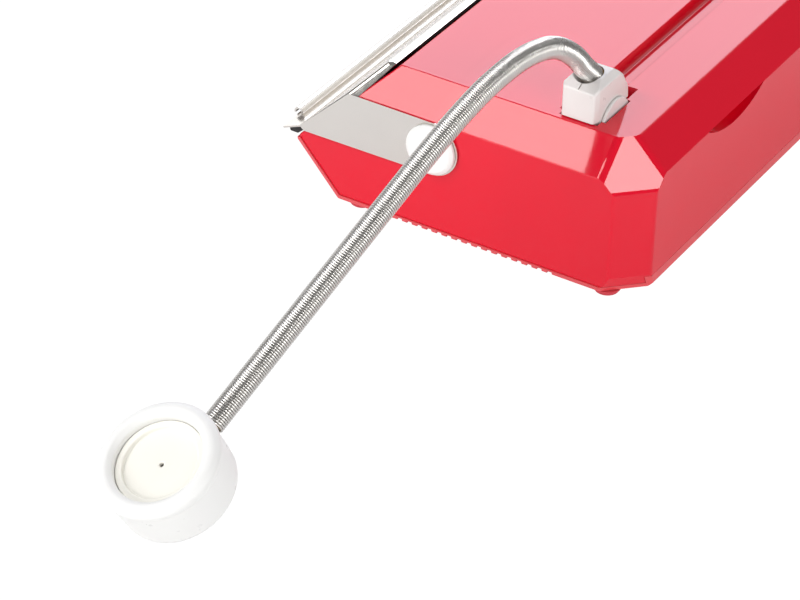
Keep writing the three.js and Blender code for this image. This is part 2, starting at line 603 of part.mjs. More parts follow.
const SIDES = [['right', 1], ['left', -1]];
const KEYS = [['vacuum', BUTTON.vacuum], ['seal', BUTTON.seal]];

add(machine, 'upper_housing', upperHousing(), RED);
add(machine, 'base_tray', baseTray(), RED);
Object.entries(FEET).forEach(([name, at]) => add(machine, `foot_${name}`, foot(at), RED_RUBBER));
SCREWS.forEach((at, i) => add(machine, `base_screw_${i + 1}`, baseScrew(at), STEEL));

add(slope, 'vacuum_chamber', vacuumChamber(), GREY);
add(slope, 'chamber_gasket', ring(0.8, 5, GAP, 3), BLACK_RUBBER);
add(slope, 'sealing_bar', sealBar(), BRUSHED);
add(slope, 'heating_strip', stripOnBar(158, 3, SEAL_BAR.top + GAP, SEAL_BAR.top + 0.6), STEEL);
add(slope, 'release_tape', stripOnBar(160, 9, SEAL_BAR.top + 0.9, SEAL_BAR.top + 1.1), TAPE);
add(slope, 'pressure_strip', stripOnBar(162, 9, SEAL_BAR.top + 1.5, SEAL_BAR.top + 2.2), CLEAR_RUBBER);
add(slope, 'lid_gasket', ring(0.8, 5, 3.3, 4.1), BLACK_RUBBER);
machine.add(slope);

add(machine, 'lid', lid(), STEEL);
add(machine, 'front_seal', frontSeal(), BLACK_RUBBER);
SIDES.forEach(([name, side]) => {
  add(machine, `pivot_cap_${name}`, pivotCap(side), WHITE);
  add(machine, `pivot_pin_${name}`, pivotPin(side), STEEL);
  add(machine, `pivot_collar_${name}`, pivotCollar(side), BRASS);
});

add(machine, 'hose_socket', hoseSocket(), RED);
add(machine, 'hose_block', hoseBlock(), WHITE);
add(machine, 'trunnion_front', trunnionDisc(58.8, 61), WHITE);
add(machine, 'trunnion_rear', trunnionDisc(87.8, 90), WHITE);
add(machine, 'hose_ferrule', hoseFerrule(), BRASS);
add(machine, 'vacuum_hose', tube(HOSE_ROUTE, HOSE_R, HOSE_BORE, 8, 46), STEEL);
add(cup, 'cup_body', cupBody(), WHITE);
add(cup, 'cup_seal', cupSeal(), WHITE);
add(cup, 'cup_disc', cupDisc(), CREAM);
add(cup, 'cup_ferrule', cupFerrule(), BRASS);
machine.add(cup);

add(machine, 'control_panel', controlPanel(), DARK);
KEYS.forEach(([name, at]) => {
  add(machine, `button_${name}`, button(at), WHITE);
  add(machine, `lamp_${name}`, lamp(at), LAMP);
  add(machine, `tact_switch_${name}`, tactSwitch(at), DARK);
});
add(machine, 'circuit_board', circuitBoard(), BOARD);
add(machine, 'switch_frame', switchFrame(), DARK);
add(machine, 'power_rocker', rocker(), DARK);
add(machine, 'power_inlet', powerInlet(), DARK);
SIDES.forEach(([name, side]) => add(machine, `inlet_pin_${name}`, inletPin(side), BRASS));
add(machine, 'transformer_core', transformerCore(), GREY);
add(machine, 'transformer_coil', transformerCoil(), COPPER);

add(machine, 'pump_motor', pumpMotor(), GREY);
add(machine, 'motor_shaft', motorShaft(), STEEL);
add(machine, 'cooling_fan', coolingFan(), DARK);
add(machine, 'pump_crank', pumpCrank(), STEEL);
add(machine, 'pump_frame', pumpFrame(), GREY);
add(machine, 'pump_cylinder', pumpCylinder(), GREY);
add(machine, 'pump_head', pumpHead(), GREY);
add(machine, 'piston', piston(), DARK);
add(machine, 'piston_rod', pistonRod(), STEEL);
add(machine, 'suction_tube', suctionTube(), CLEAR_RUBBER);

export default machine;
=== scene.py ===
"""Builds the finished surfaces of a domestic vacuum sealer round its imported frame.

The machine has a glossy red body, a pivoting stainless lid and a gooseneck hose that
ends in a round cup. Outlines are in millimetres and every finished piece is in metres.
"""

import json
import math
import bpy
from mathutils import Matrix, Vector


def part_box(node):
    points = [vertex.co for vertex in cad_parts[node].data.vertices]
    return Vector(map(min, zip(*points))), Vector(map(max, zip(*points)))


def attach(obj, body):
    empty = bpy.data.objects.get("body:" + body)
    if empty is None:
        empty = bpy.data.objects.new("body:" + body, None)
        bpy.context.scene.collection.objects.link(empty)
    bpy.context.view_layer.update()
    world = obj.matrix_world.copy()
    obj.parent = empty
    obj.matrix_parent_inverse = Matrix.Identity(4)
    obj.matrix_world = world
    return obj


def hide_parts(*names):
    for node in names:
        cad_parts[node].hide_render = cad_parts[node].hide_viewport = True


bl_info = {
    "name": "Vacuum Sealer Pieces",
    "version": (1, 0, 0),
    "blender": (4, 5, 0),
    "location": "View3D > Sidebar > Sealer",
    "description": "Builds the body, lid, hose and cup of a domestic vacuum sealer",
    "category": "Object",
}

from bisect import bisect_right

import bmesh
import bpy
from bpy.props import FloatProperty, FloatVectorProperty, IntProperty, PointerProperty
from mathutils import Matrix, Vector

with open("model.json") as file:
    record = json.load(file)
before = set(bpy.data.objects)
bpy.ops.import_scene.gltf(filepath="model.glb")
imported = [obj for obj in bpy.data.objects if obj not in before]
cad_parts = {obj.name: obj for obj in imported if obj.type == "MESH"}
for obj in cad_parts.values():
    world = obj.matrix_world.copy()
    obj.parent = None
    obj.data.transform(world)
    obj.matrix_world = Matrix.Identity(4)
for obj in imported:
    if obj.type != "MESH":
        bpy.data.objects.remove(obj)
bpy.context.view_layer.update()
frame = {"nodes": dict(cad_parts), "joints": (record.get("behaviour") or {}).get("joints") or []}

MM = 0.001

AXES = {"X": Vector((1, 0, 0)), "Y": Vector((0, 1, 0)), "Z": Vector((0, 0, 1))}
SIDES = (("right", 1), ("left", -1))


def in_mm(node):
    """The lowest and highest corner of a frame node, in millimetres."""
    return [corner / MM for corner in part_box(node)]


def joint_place(name):
    """Where a joint of the frame sits, in millimetres."""
    return Vector(next(j["pos_m"] for j in frame["joints"] if j["name"] == name)) / MM


# the body, read from the frame
LOW, HIGH = in_mm("upper_housing")
HALF, BACK, DECK = HIGH.x, HIGH.y, HIGH.z
FLOOR_OF_SHELL = LOW.z
TRAY_LOW, TRAY_HIGH = in_mm("base_tray")
TRAY_HALF = TRAY_HIGH.x
PIVOT = joint_place("lid_hinge")
SWIVEL = joint_place("hose_swivel")

BEVEL = 21  # 45 degree bevel round the deck and up the back corners
CORNER_SUM = 416  # x + y + z on the facet that cuts each rear top corner
FOOT_FACET_RISE = 12  # height of the small facet under each back corner
FOOT_FACET_LEAN = 0.5
UPRIGHT_RADIUS = 5
FOOT_FACET_RADIUS = 3
WALL = 3
GAP = 0.3
PAST = 1  # how far a cutter runs past the surface that it opens
BLANK = 2000  # side of the cube that the body is cut from
SLOPE_TOP = (-56.5, DECK)  # y, z where the deck turns down into the sloping front
TIP = (-121.4, 45.1)  # y, z of the front edge of the shell
TRAY_FRONT = (-124, 40)
TRAY_TOE = (-91, TRAY_LOW.z)
TRAY_WALL = 3.5
TRAY_BACK_TOP = 14
TRAY_LEDGE_SLANT = 2.6  # how steeply the tray's edge falls away from the end face

# pockets in the shell
TROUGH = {"y0": 62.3, "y1": 79.5, "floor": 101.6, "radius": 3.6}
POCKET = {"x0": 138.8, "x1": 194.5, "y0": 60.4, "y1": 88.4, "floor": 79}
POCKET_WALL = 2.8
SLOT_OUT = 3
DISC_R = 18.7
DISC_PLAY = 0.8
SCOOP = {"x": 90, "half": 40, "depth": 10.5, "inward": 8, "low": 75, "high": 93, "wall": 2.5}
PIVOT_BORE = {"radius": 5.4, "reach": 6}
CHAMBER = {"half": 165.3, "s0": 12, "s1": 34}
SEAL_BAR = {"half": 162.3, "s0": 51.7, "s1": 64.3}
SLOPE_POCKET = 12
PANEL = {"x0": -170, "x1": -60, "y0": -30, "y1": 30, "depth": 1.5}
BUTTONS = {"vacuum": (-140, -4), "seal": (-92, -4)}
BUTTON_R = 9
BUTTON_PLAY = 0.6
PANEL_HOLE_LOW = 100
LAMP_Y = 18
LAMP_R = 2.6
SWITCH = {"x": -172, "z": 45, "half": 14, "rise": 16}
INLET = {"x": -125, "z": 45, "half": 16, "rise": 11}
REAR_RECESS = 2.3
REAR_RIM = 3  # ledge round the deep part of each rear pocket
REAR_DEPTH = 28
REAR_PAD = (-192, -103, BACK - 6, BACK, 24, 66)  # thick wall round the rear fittings

# the stainless lid
SHEET = 1.2
ARM_X = HALF + 1
ARM_R = 19.7
LID_TOP = (-65.2, DECK + 0.3)
LID_FOOT = (-120, 52.0)
LID_LIP = (-134.6, 46.0)
HIP_FOOT_Z = DECK - BEVEL + 1.4
FLANGE = 4.5
HIP_FLANGE = 7.5
FLANGE_DIP = 1.4
ARM_HEEL = (2, -2.8)  # from the plate's foot to the lower edge of an arm
CURL_R = 3.5
CURL_HALF = HALF - 17
CURL_AXIS = (-134, 49.2)
CAP_R = 18.3
CAP_BASE = 221.9
CAP_H = 4.1

# the hose and its cup
HOSE_R = 7.5
HOSE_ROUTE = (
    (176.2, 73.6, 134), (181, 73, 139.2), (187.5, 72, 146), (198, 70.4, 158),
    (212.2, 68.3, 169.4), (226, 66.2, 176), (241.4, 63.9, 179), (253, 62.1, 179.4),
    (265.3, 60.3, 178.4), (286, 57.2, 174.2), (305, 54.4, 168), (323, 51.7, 160.6),
    (340, 49.2, 152.7), (355.9, 46.8, 144.7), (387.1, 42.1, 128.4), (419, 37.3, 111.7),
    (450.9, 32.5, 95), (482.7, 27.7, 78.3), (514.6, 22.9, 61.6), (536.8, 19.6, 50),
)
CUP_FACE = Vector((583.6, 12.1, 54.5))
CUP_NORMAL = Vector((0.482, -0.117, 0.868)).normalized()
CUP_R = 40
CUP_BACK_R = 37.6
CUP_DEPTH = 40.5
CUP_RECESS_R = 28.8
CUP_RECESS = 9.5


class SealerSizes(bpy.types.PropertyGroup):
    """Sizes of the finished surfaces that a maker would change."""

    edge_radius: FloatProperty(
        name="Edge radius", description="Radius along the body's straight edges",
        default=0.0020, min=0.0003, max=0.004, unit="LENGTH")
    corner_radius: FloatProperty(
        name="Corner radius", description="Radius where the rear corner facets meet the bevels",
        default=0.0125, min=0.002, max=0.02, unit="LENGTH")
    block_radius: FloatProperty(
        name="Block radius", description="Radius on the edges of the hose block",
        default=0.0022, min=0.0005, max=0.004, unit="LENGTH")
    coil_pitch: FloatProperty(
        name="Coil pitch", description="Distance between neighbouring turns of the hose's coil",
        default=0.00165, min=0.001, max=0.003, unit="LENGTH")
    bend_radius: FloatProperty(
        name="Bend radius", description="Radius of the bends in the lid's sheet",
        default=0.0022, min=0.0008, max=0.004, unit="LENGTH")
    vent_width: FloatProperty(
        name="Vent width", description="Width of each slot in the base tray",
        default=0.0038, min=0.002, max=0.006, unit="LENGTH")
    vent_count: IntProperty(
        name="Vents a side", description="Number of slots at each end of the base tray",
        default=16, min=4, max=24)


class SealerColours(bpy.types.PropertyGroup):
    """Colours of the main finishes."""

    red: FloatVectorProperty(
        name="Body red", description="Glossy plastic of the body",
        default=(0.75, 0.002, 0.022), subtype="COLOR", min=0, max=1)
    white: FloatVectorProperty(
        name="White", description="Hose block, pivot caps, cup and buttons",
        default=(0.88, 0.875, 0.86), subtype="COLOR", min=0, max=1)
    cream: FloatVectorProperty(
        name="Cream", description="Disc in the bottom of the cup",
        default=(0.86, 0.855, 0.80), subtype="COLOR", min=0, max=1)
    steel: FloatVectorProperty(
        name="Stainless", description="Lid, pins and screws",
        default=(0.80, 0.765, 0.72), subtype="COLOR", min=0, max=1)
    hose: FloatVectorProperty(
        name="Hose steel", description="Wound wire of the hose",
        default=(0.68, 0.66, 0.63), subtype="COLOR", min=0, max=1)
    rubber: FloatVectorProperty(
        name="Rubber", description="Gaskets and front seal",
        default=(0.012, 0.012, 0.014), subtype="COLOR", min=0, max=1)


# ---- outlines


def arc(cu, cv, radius, start, end, steps):
    """Points along an arc, angles in degrees."""
    angles = [math.radians(start + (end - start) * i / steps) for i in range(steps + 1)]
    return [(cu + radius * math.cos(a), cv + radius * math.sin(a)) for a in angles]


def circle(cu, cv, radius, sides=64):
    return arc(cu, cv, radius, 0, 360 - 360 / sides, sides - 1)


def rectangle(u0, u1, v0, v1):
    return [(u0, v0), (u1, v0), (u1, v1), (u0, v1)]


def fillet(corners, steps=5):
    """Rounds an outline: a corner (u, v, r) becomes an arc of that radius, (u, v) stays sharp."""
    points = []
    for i, corner in enumerate(corners):
        here = Vector(corner[:2])
        if len(corner) < 3:
            points.append(tuple(here))
            continue
        before = (Vector(corners[i - 1][:2]) - here).normalized()
        after = (Vector(corners[(i + 1) % len(corners)][:2]) - here).normalized()
        half = before.angle(after) / 2
        reach = corner[2] / math.tan(half)
        centre = here + (before + after).normalized() * corner[2] / math.sin(half)
        first, last = here + before * reach - centre, here + after * reach - centre
        for k in range(steps + 1):
            spoke = first.lerp(last, k / steps).normalized() * corner[2]
            points.append(tuple(centre + spoke))
    return points


# ---- solids


def verts_of(geometry):
    return [v for v in geometry if isinstance(v, bmesh.types.BMVert)]


def prism(points, axis, low, high):
    """An outline carried along one axis. The outline's two numbers are the other axes in order."""
    place = {"X": lambda u, v: (low, u, v), "Y": lambda u, v: (u, low, v),
             "Z": lambda u, v: (u, v, low)}[axis]
    bm = bmesh.new()
    face = bm.faces.new([bm.verts.new(place(u, v)) for u, v in points])
    grown = bmesh.ops.extrude_face_region(bm, geom=[face], use_keep_orig=True)
    bmesh.ops.translate(bm, verts=verts_of(grown["geom"]), vec=AXES[axis] * (high - low))
    bmesh.ops.recalc_face_normals(bm, faces=bm.faces)
    return bm


def turned(profile, steps=96, closed=True):
    """A radius, height profile turned round +Z. It closes on itself or on the axis."""
    bm = bmesh.new()
    verts = [bm.verts.new((r, 0, h)) for r, h in profile]
    edges = [bm.edges.new(pair) for pair in zip(verts, verts[1:])]
    if closed:
        edges.append(bm.edges.new((verts[-1], verts[0])))
    bmesh.ops.spin(bm, geom=verts + edges, cent=(0, 0, 0), axis=AXES["Z"], dvec=(0, 0, 0),
                   angle=math.tau, steps=steps, use_merge=True, use_duplicate=False)
    bmesh.ops.remove_doubles(bm, verts=bm.verts, dist=1e-4)
    bmesh.ops.recalc_face_normals(bm, faces=bm.faces)
    return bm


def clip(bm, normal, distance):
    """Cuts away everything beyond a plane and closes the cut."""
    normal = Vector(normal).normalized()
    geometry = bm.verts[:] + bm.edges[:] + bm.faces[:]
    cut = bmesh.ops.bisect_plane(bm, geom=geometry, dist=1e-4, plane_co=normal * distance,
                                 plane_no=normal, clear_outer=True)
    rim = [e for e in cut["geom_cut"] if isinstance(e, bmesh.types.BMEdge)]
    if rim:
        bmesh.ops.edgeloop_fill(bm, edges=rim)


def plane(normal, *point):
    """A plane as its unit normal and its distance from the origin."""
    unit = Vector(normal).normalized()
    return unit, unit.dot(Vector(point))


def round_between(bm, first, second, radius, steps=4):
    """Rolls a radius between two faces of a convex solid with planes tangent to it."""
    (a, da), (b, db) = first, second
    between = a.dot(b)
    share = 1 - between * between
    from_a = ((da - radius) - between * (db - radius)) / share
    from_b = ((db - radius) - between * (da - radius)) / share
    centre = a * from_a + b * from_b
    for i in range(steps):
        normal = a.slerp(b, (i + 0.5) / steps)
        clip(bm, normal, normal.dot(centre) + radius)


def convex(size, planes, rounds):
    """A convex solid from named planes, with a radius on each named pair of them."""
    bm = bmesh.new()
    bmesh.ops.create_cube(bm, size=size)
    for normal, distance in planes.values():
        clip(bm, normal, distance)
    for first, second, radius in rounds:
        round_between(bm, planes[first], planes[second], radius)
    bmesh.ops.recalc_face_normals(bm, faces=bm.faces)
    return bm


def moved(bm, matrix):
    bmesh.ops.transform(bm, matrix=matrix, verts=bm.verts)
    return bm


def facing(direction, place=(0, 0, 0)):
    """The matrix that turns +Z to a direction and moves the origin to a place."""
    turn = AXES["Z"].rotation_difference(Vector(direction)).to_matrix().to_4x4()
    return Matrix.Translation(place) @ turn


ON_SLOPE = Matrix.Translation((0, *SLOPE_TOP)) @ Matrix.Rotation(math.pi / 4, 4, "X")


def box(x0, x1, y0, y1, z0, z1):
    return prism(rectangle(x0, x1, y0, y1), "Z", z0, z1)


# ---- objects


def to_object(bm, name):
    """Writes a solid in millimetres to an object in metres at the origin, and frees it."""
    bmesh.ops.scale(bm, vec=(MM, MM, MM), verts=bm.verts)
    mesh = bpy.data.meshes.new(name)
    bm.to_mesh(mesh)
    bm.free()
    made = bpy.data.objects.new(name, mesh)
    bpy.context.scene.collection.objects.link(made)
    return made


def baked(made):
    """Replaces an object's mesh by what its modifiers make of it."""
    bpy.context.view_layer.update()
    shown = made.evaluated_get(bpy.context.evaluated_depsgraph_get())
    mesh = bpy.data.meshes.new_from_object(shown)
    made.modifiers.clear()
    made.data = mesh


def carve(made, tools, operation="DIFFERENCE"):
    """Cuts a list of solids out of an object, or joins them to it."""
    cutters = [to_object(bm, "cutter") for bm in tools]
    for cutter in cutters:
        step = made.modifiers.new("carve", "BOOLEAN")
        step.object = cutter
        step.operation = operation
        step.solver = "EXACT"
    baked(made)
    for cutter in cutters:
        bpy.data.objects.remove(cutter)


def finished(made, body, material, nodes=(), sharp=32, weighted=True):
    """Smooths a piece, gives it its finish and rides it on its body."""
    made.data.shade_smooth()
    made.data.set_sharp_from_angle(angle=math.radians(sharp))
    if weighted:
        normals = made.modifiers.new("even normals", "WEIGHTED_NORMAL")
        normals.keep_sharp = True
    made.data.materials.clear()
    made.data.materials.append(material)
    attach(made, body)
    if nodes:
        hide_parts(*nodes)
    return made


# ---- finishes


def finish(name, colour, roughness, metallic=0.0, shift=0.03, spread=0.03, grain=400.0,
           bump=0.02, stretch=(1, 1, 1), coat=0.0, specular=0.5, glow=0.0):
    """A procedural finish: a colour that shifts a little, uneven gloss and a fine grain."""
    existing = bpy.data.materials.get(name)
    if existing:
        return existing
    material = bpy.data.materials.new(name)
    material.use_nodes = True
    nodes, links = material.node_tree.nodes, material.node_tree.links
    shader = nodes["Principled BSDF"]
    for socket, value in (("Metallic", metallic), ("IOR", 1.5), ("Specular IOR Level", specular),
                          ("Coat Weight", coat), ("Coat Roughness", 0.05)):
        shader.inputs[socket].default_value = value
    place = nodes.new("ShaderNodeTexCoord")
    turn = nodes.new("ShaderNodeMapping")
    turn.inputs["Scale"].default_value = stretch
    links.new(place.outputs["Object"], turn.inputs["Vector"])

    def noise(scale, detail):
        node = nodes.new("ShaderNodeTexNoise")
        node.inputs["Scale"].default_value = scale
        node.inputs["Detail"].default_value = detail
        links.new(turn.outputs["Vector"], node.inputs["Vector"])
        return node

    cloud = noise(grain / 16, 3.0)
    tint = nodes.new("ShaderNodeMix")
    tint.data_type = "RGBA"
    tint.inputs["A"].default_value = (*[c * (1 - shift) for c in colour], 1)
    tint.inputs["B"].default_value = (*[min(1, c * (1 + shift)) for c in colour], 1)
    links.new(cloud.outputs["Fac"], tint.inputs["Factor"])
    links.new(tint.outputs["Result"], shader.inputs["Base Color"])
    smear = noise(grain / 5, 4.0)
    gloss = nodes.new("ShaderNodeMapRange")
    for socket, value in (("From Min", 0.3), ("From Max", 0.7),
                          ("To Min", max(0.02, roughness - spread)),
                          ("To Max", min(1, roughness + spread))):
        gloss.inputs[socket].default_value = value
    links.new(smear.outputs["Fac"], gloss.inputs["Value"])
    links.new(gloss.outputs["Result"], shader.inputs["Roughness"])
    skin = noise(grain, 2.0)
    relief = nodes.new("ShaderNodeBump")
    relief.inputs["Strength"].default_value = bump
    relief.inputs["Distance"].default_value = 0.0004
    links.new(skin.outputs["Fac"], relief.inputs["Height"])
    links.new(relief.outputs["Normal"], shader.inputs["Normal"])
    if glow:
        shader.inputs["Emission Color"].default_value = (*colour, 1)
        shader.inputs["Emission Strength"].default_value = glow
    return material


def colours():
    return bpy.context.scene.sealer_colours


def sizes():
    return bpy.context.scene.sealer_sizes


def body_red():
    return finish("glossy_red_plastic", colours().red, 0.07, shift=0.02, spread=0.02,
                  grain=350, bump=0.012)


def tray_red():
    return finish("satin_red_plastic", (0.78, 0.07, 0.085), 0.2, shift=0.02, grain=350,
                  bump=0.02)


def foot_red():
    return finish("red_rubber", (0.5, 0.004, 0.012), 0.6, grain=900, bump=0.2)


def smooth_white():
    return finish("white_moulded_plastic", colours().white, 0.32, shift=0.015, spread=0.05,
                  grain=700, bump=0.03)


def block_white():
    return finish("warm_white_plastic", (0.82, 0.78, 0.76), 0.32, shift=0.015, spread=0.05,
                  grain=700, bump=0.03)


def seal_white():
    return finish("white_soft_seal", colours().white, 0.45, shift=0.015, spread=0.06,
                  grain=900, bump=0.04)


def cup_cream():
    return finish("cream_plastic", colours().cream, 0.4, shift=0.02, grain=700, bump=0.03)


def lid_steel():
    return finish("stainless_sheet", colours().steel, 0.2, metallic=1, shift=0.02, spread=0.05,
                  grain=900, bump=0.05, stretch=(0.03, 1, 1))


def wire_steel():
    return finish("wound_hose_wire", colours().hose, 0.24, metallic=1, shift=0.10, spread=0.07,
                  grain=600, bump=0.02)


def bright_steel():
    return finish("bright_steel", colours().steel, 0.25, metallic=1, shift=0.05, grain=700)


def black_rubber():
    return finish("black_rubber", colours().rubber, 0.75, shift=0.2, spread=0.08, grain=1200,
                  bump=0.15)


def grey_plastic():
    return finish("grey_moulded_plastic", (0.24, 0.25, 0.27), 0.5, grain=900, bump=0.08)


def dark_plastic():
    return finish("dark_textured_plastic", (0.018, 0.019, 0.022), 0.42, shift=0.1, grain=1500,
                  bump=0.12)


def cast_aluminium():
    return finish("extruded_aluminium", (0.72, 0.72, 0.71), 0.34, metallic=1, shift=0.04,
                  grain=900, bump=0.06, stretch=(0.04, 1, 1))


def turned_brass():
    return finish("turned_brass", (0.68, 0.47, 0.16), 0.3, metallic=1, shift=0.08, grain=900)


def release_tape():
    return finish("woven_release_tape", (0.24, 0.13, 0.055), 0.55, shift=0.18, grain=2400,
                  bump=0.4)


def clear_silicone():
    return finish("translucent_silicone", (0.72, 0.70, 0.64), 0.45, shift=0.04, grain=900)


def lamp_red():
    return finish("lamp_lens", (0.9, 0.10, 0.03), 0.12, grain=500, coat=0.6, glow=0.25)


def board_green():
    return finish("circuit_board_lacquer", (0.012, 0.15, 0.045), 0.3, shift=0.25, grain=1600)


def motor_steel():
    return finish("drawn_motor_steel", (0.46, 0.46, 0.47), 0.42, metallic=1, shift=0.08,
                  grain=900)


def copper_wire():
    return finish("enamelled_copper", (0.66, 0.22, 0.07), 0.32, metallic=1, shift=0.15,
                  grain=300, bump=0.5, stretch=(1, 1, 14))


def dress(material, *nodes):
    """Gives carried-over frame nodes a finish."""
    for name in nodes:
        mesh = frame["nodes"][name].data
        mesh.materials.clear()
        mesh.materials.append(material)


# ---- stage

CAMERA_PLACE = Vector((1.98505, 1.001083, 1.330801))
CAMERA_RIGHT = Vector((-0.52367883, 0.85146924, 0.02757935))
CAMERA_UP = Vector((-0.46651546, -0.31370805, 0.82701305))
CAMERA_LENS = 163.89
SENSOR = 36
FOCUS = Vector((0.2, 0.05, 0.1))
COOL = (0.93, 0.95, 1.07)
NEUTRAL = (1, 1, 1)
# direction from the machine, distance, shift along its width, width, height, radiance, tint
SOFTBOXES = {
    "overhead_left": ((-0.71, -0.42, 0.56), 2.4, 0, 1.8, 1.2, 3.75, COOL),
    "key_end": ((0.56, -0.42, 0.71), 2.2, -0.1105, 1.1, 0.66, 7.6, NEUTRAL),
    "key_end_strip": ((0.56, -0.42, 0.71), 2.2, 0.5295, 0.12, 0.66, 7.6, NEUTRAL),
    "fill_near_camera": ((0.416, 0.709, 0.568), 2.6, 0, 0.72, 0.56, 9.5, NEUTRAL),
    "fill_end": ((0.95, -0.3, 0.1), 2.6, 0, 1.6, 1.1, 6.0, NEUTRAL),
    "fill_back": ((0.1, 0.97, 0.15), 2.6, 0, 1.6, 1.1, 4.4, NEUTRAL),
    "overhead_back_left": ((-0.75, 0.27, 0.62), 2.6, 0, 0.9, 0.9, 1.1, NEUTRAL),
    "backdrop_left": ((-0.71, -0.69, 0.1), 2.6, 0, 2.4, 1.0, 1.15, NEUTRAL),
}
SKY_LEVEL = 0.2


def softbox(name, direction, distance, shift, width, height, radiance, tint):
    """A rectangular light of a given radiance that faces the machine."""
    light = bpy.data.lights.new(name, "AREA")
    light.shape = "RECTANGLE"
    light.size, light.size_y = width, height
    light.energy = radiance * math.pi * width * height
    light.color = tint
    lamp = bpy.data.objects.new(name, light)
    away = Vector(direction).normalized()
    along = AXES["Z"].cross(away).normalized()
    lamp.location = FOCUS + away * distance + along * shift
    lamp.rotation_euler = away.to_track_quat("Z", "Y").to_euler()
    lamp.visible_camera = False
    bpy.context.scene.collection.objects.link(lamp)


def floor_plate(name, albedo, glow, height):
    """A wide plain floor, drawn by its own light and by what falls on it."""
    bm = bmesh.new()
    bmesh.ops.create_grid(bm, x_segments=1, y_segments=1, size=12000,
                          matrix=Matrix.Translation((0, 0, height)))
    floor = to_object(bm, name)
    floor.data.materials.append(
        finish(name, (albedo,) * 3, 0.9, shift=0.005, grain=40, bump=0, specular=0.1))
    shader = floor.data.materials[0].node_tree.nodes["Principled BSDF"]
    shader.inputs["Emission Color"].default_value = (1, 1, 1, 1)
    shader.inputs["Emission Strength"].default_value = glow
    return floor


class SEALER_OT_stage(bpy.types.Operator):
    """Make the camera, the pale floor and the soft lights"""

    bl_idname = "sealer.stage"
    bl_label = "Stage"

    def execute(self, context):
        scene = context.scene
        camera_data = bpy.data.cameras.new("camera")
        camera_data.sensor_width = SENSOR
        camera_data.lens = CAMERA_LENS
        camera = bpy.data.objects.new("camera", camera_data)
        toward = CAMERA_RIGHT.cross(CAMERA_UP)
        turn = Matrix((CAMERA_RIGHT, CAMERA_UP, toward)).transposed()
        camera.matrix_world = Matrix.Translation(CAMERA_PLACE) @ turn.to_4x4()
        scene.collection.objects.link(camera)
        scene.camera = camera
        world = bpy.data.worlds.new("studio")
        world.use_nodes = True
        nodes, links = world.node_tree.nodes, world.node_tree.links
        sky = nodes["Background"]
        sky.inputs["Color"].default_value = (1, 1, 1, 1)
        path = nodes.new("ShaderNodeLightPath")
        level = nodes.new("ShaderNodeMapRange")
        level.inputs["To Min"].default_value = SKY_LEVEL
        links.new(path.outputs["Is Camera Ray"], level.inputs["Value"])
        links.new(level.outputs["Result"], sky.inputs["Strength"])
        scene.world = world
        scene.view_settings.view_transform = "Standard"
        shown = floor_plate("pale_floor", albedo=0.05, glow=1, height=0)
        shown.visible_diffuse = shown.visible_glossy = False
        shown.visible_transmission = shown.visible_shadow = False
        bounce = floor_plate("bounce_floor", albedo=0.55, glow=0.32, height=-1)
        bounce.visible_camera = False
        for name, facts in SOFTBOXES.items():
            softbox(name, *facts)
        return {"FINISHED"}


# ---- hose and cup


def route_line(samples=12):
    """The hose's centre line as closely spaced points, by a Catmull-Rom spline."""
    ends = (Vector(HOSE_ROUTE[0]) * 2 - Vector(HOSE_ROUTE[1]),
            Vector(HOSE_ROUTE[-1]) * 2 - Vector(HOSE_ROUTE[-2]))
    knots = [ends[0], *[Vector(p) for p in HOSE_ROUTE], ends[1]]
    line = []
    for before, here, there, after in zip(knots, knots[1:], knots[2:], knots[3:]):
        for i in range(samples):
            t = i / samples
            line.append(0.5 * (2 * here + (there - before) * t
                               + (2 * before - 5 * here + 4 * there - after) * t * t
                               + (3 * here - before - 3 * there + after) * t ** 3))
    line.append(knots[-2])
    return line


def carried_frames(line):
    """Length so far and an untwisted pair of side directions at each point of a line."""
    headings = [(b - a).normalized() for a, b in zip(line, line[1:])]
    headings.append(headings[-1])
    side = headings[0].orthogonal().normalized()
    lengths, sides = [0.0], [side]
    for i in range(1, len(line)):
        lengths.append(lengths[-1] + (line[i] - line[i - 1]).length)
        side = headings[i - 1].rotation_difference(headings[i]) @ side
        side = (side - headings[i] * side.dot(headings[i])).normalized()
        sides.append(side)
    return lengths, headings, sides


def bend_along(bm, line):
    """Bends a solid that stands on +Z so that its axis follows a line."""
    lengths, headings, sides = carried_frames(line)
    for vert in bm.verts:
        height = min(max(vert.co.z, 0), lengths[-1])
        i = min(bisect_right(lengths, height), len(line) - 1)
        t = (height - lengths[i - 1]) / (lengths[i] - lengths[i - 1])
        side = sides[i - 1].lerp(sides[i], t).normalized()
        heading = headings[i - 1].lerp(headings[i], t).normalized()
        over = heading.cross(side)
        spot = line[i - 1].lerp(line[i], t) + heading * (vert.co.z - height)
        vert.co = spot + side * vert.co.x + over * vert.co.y


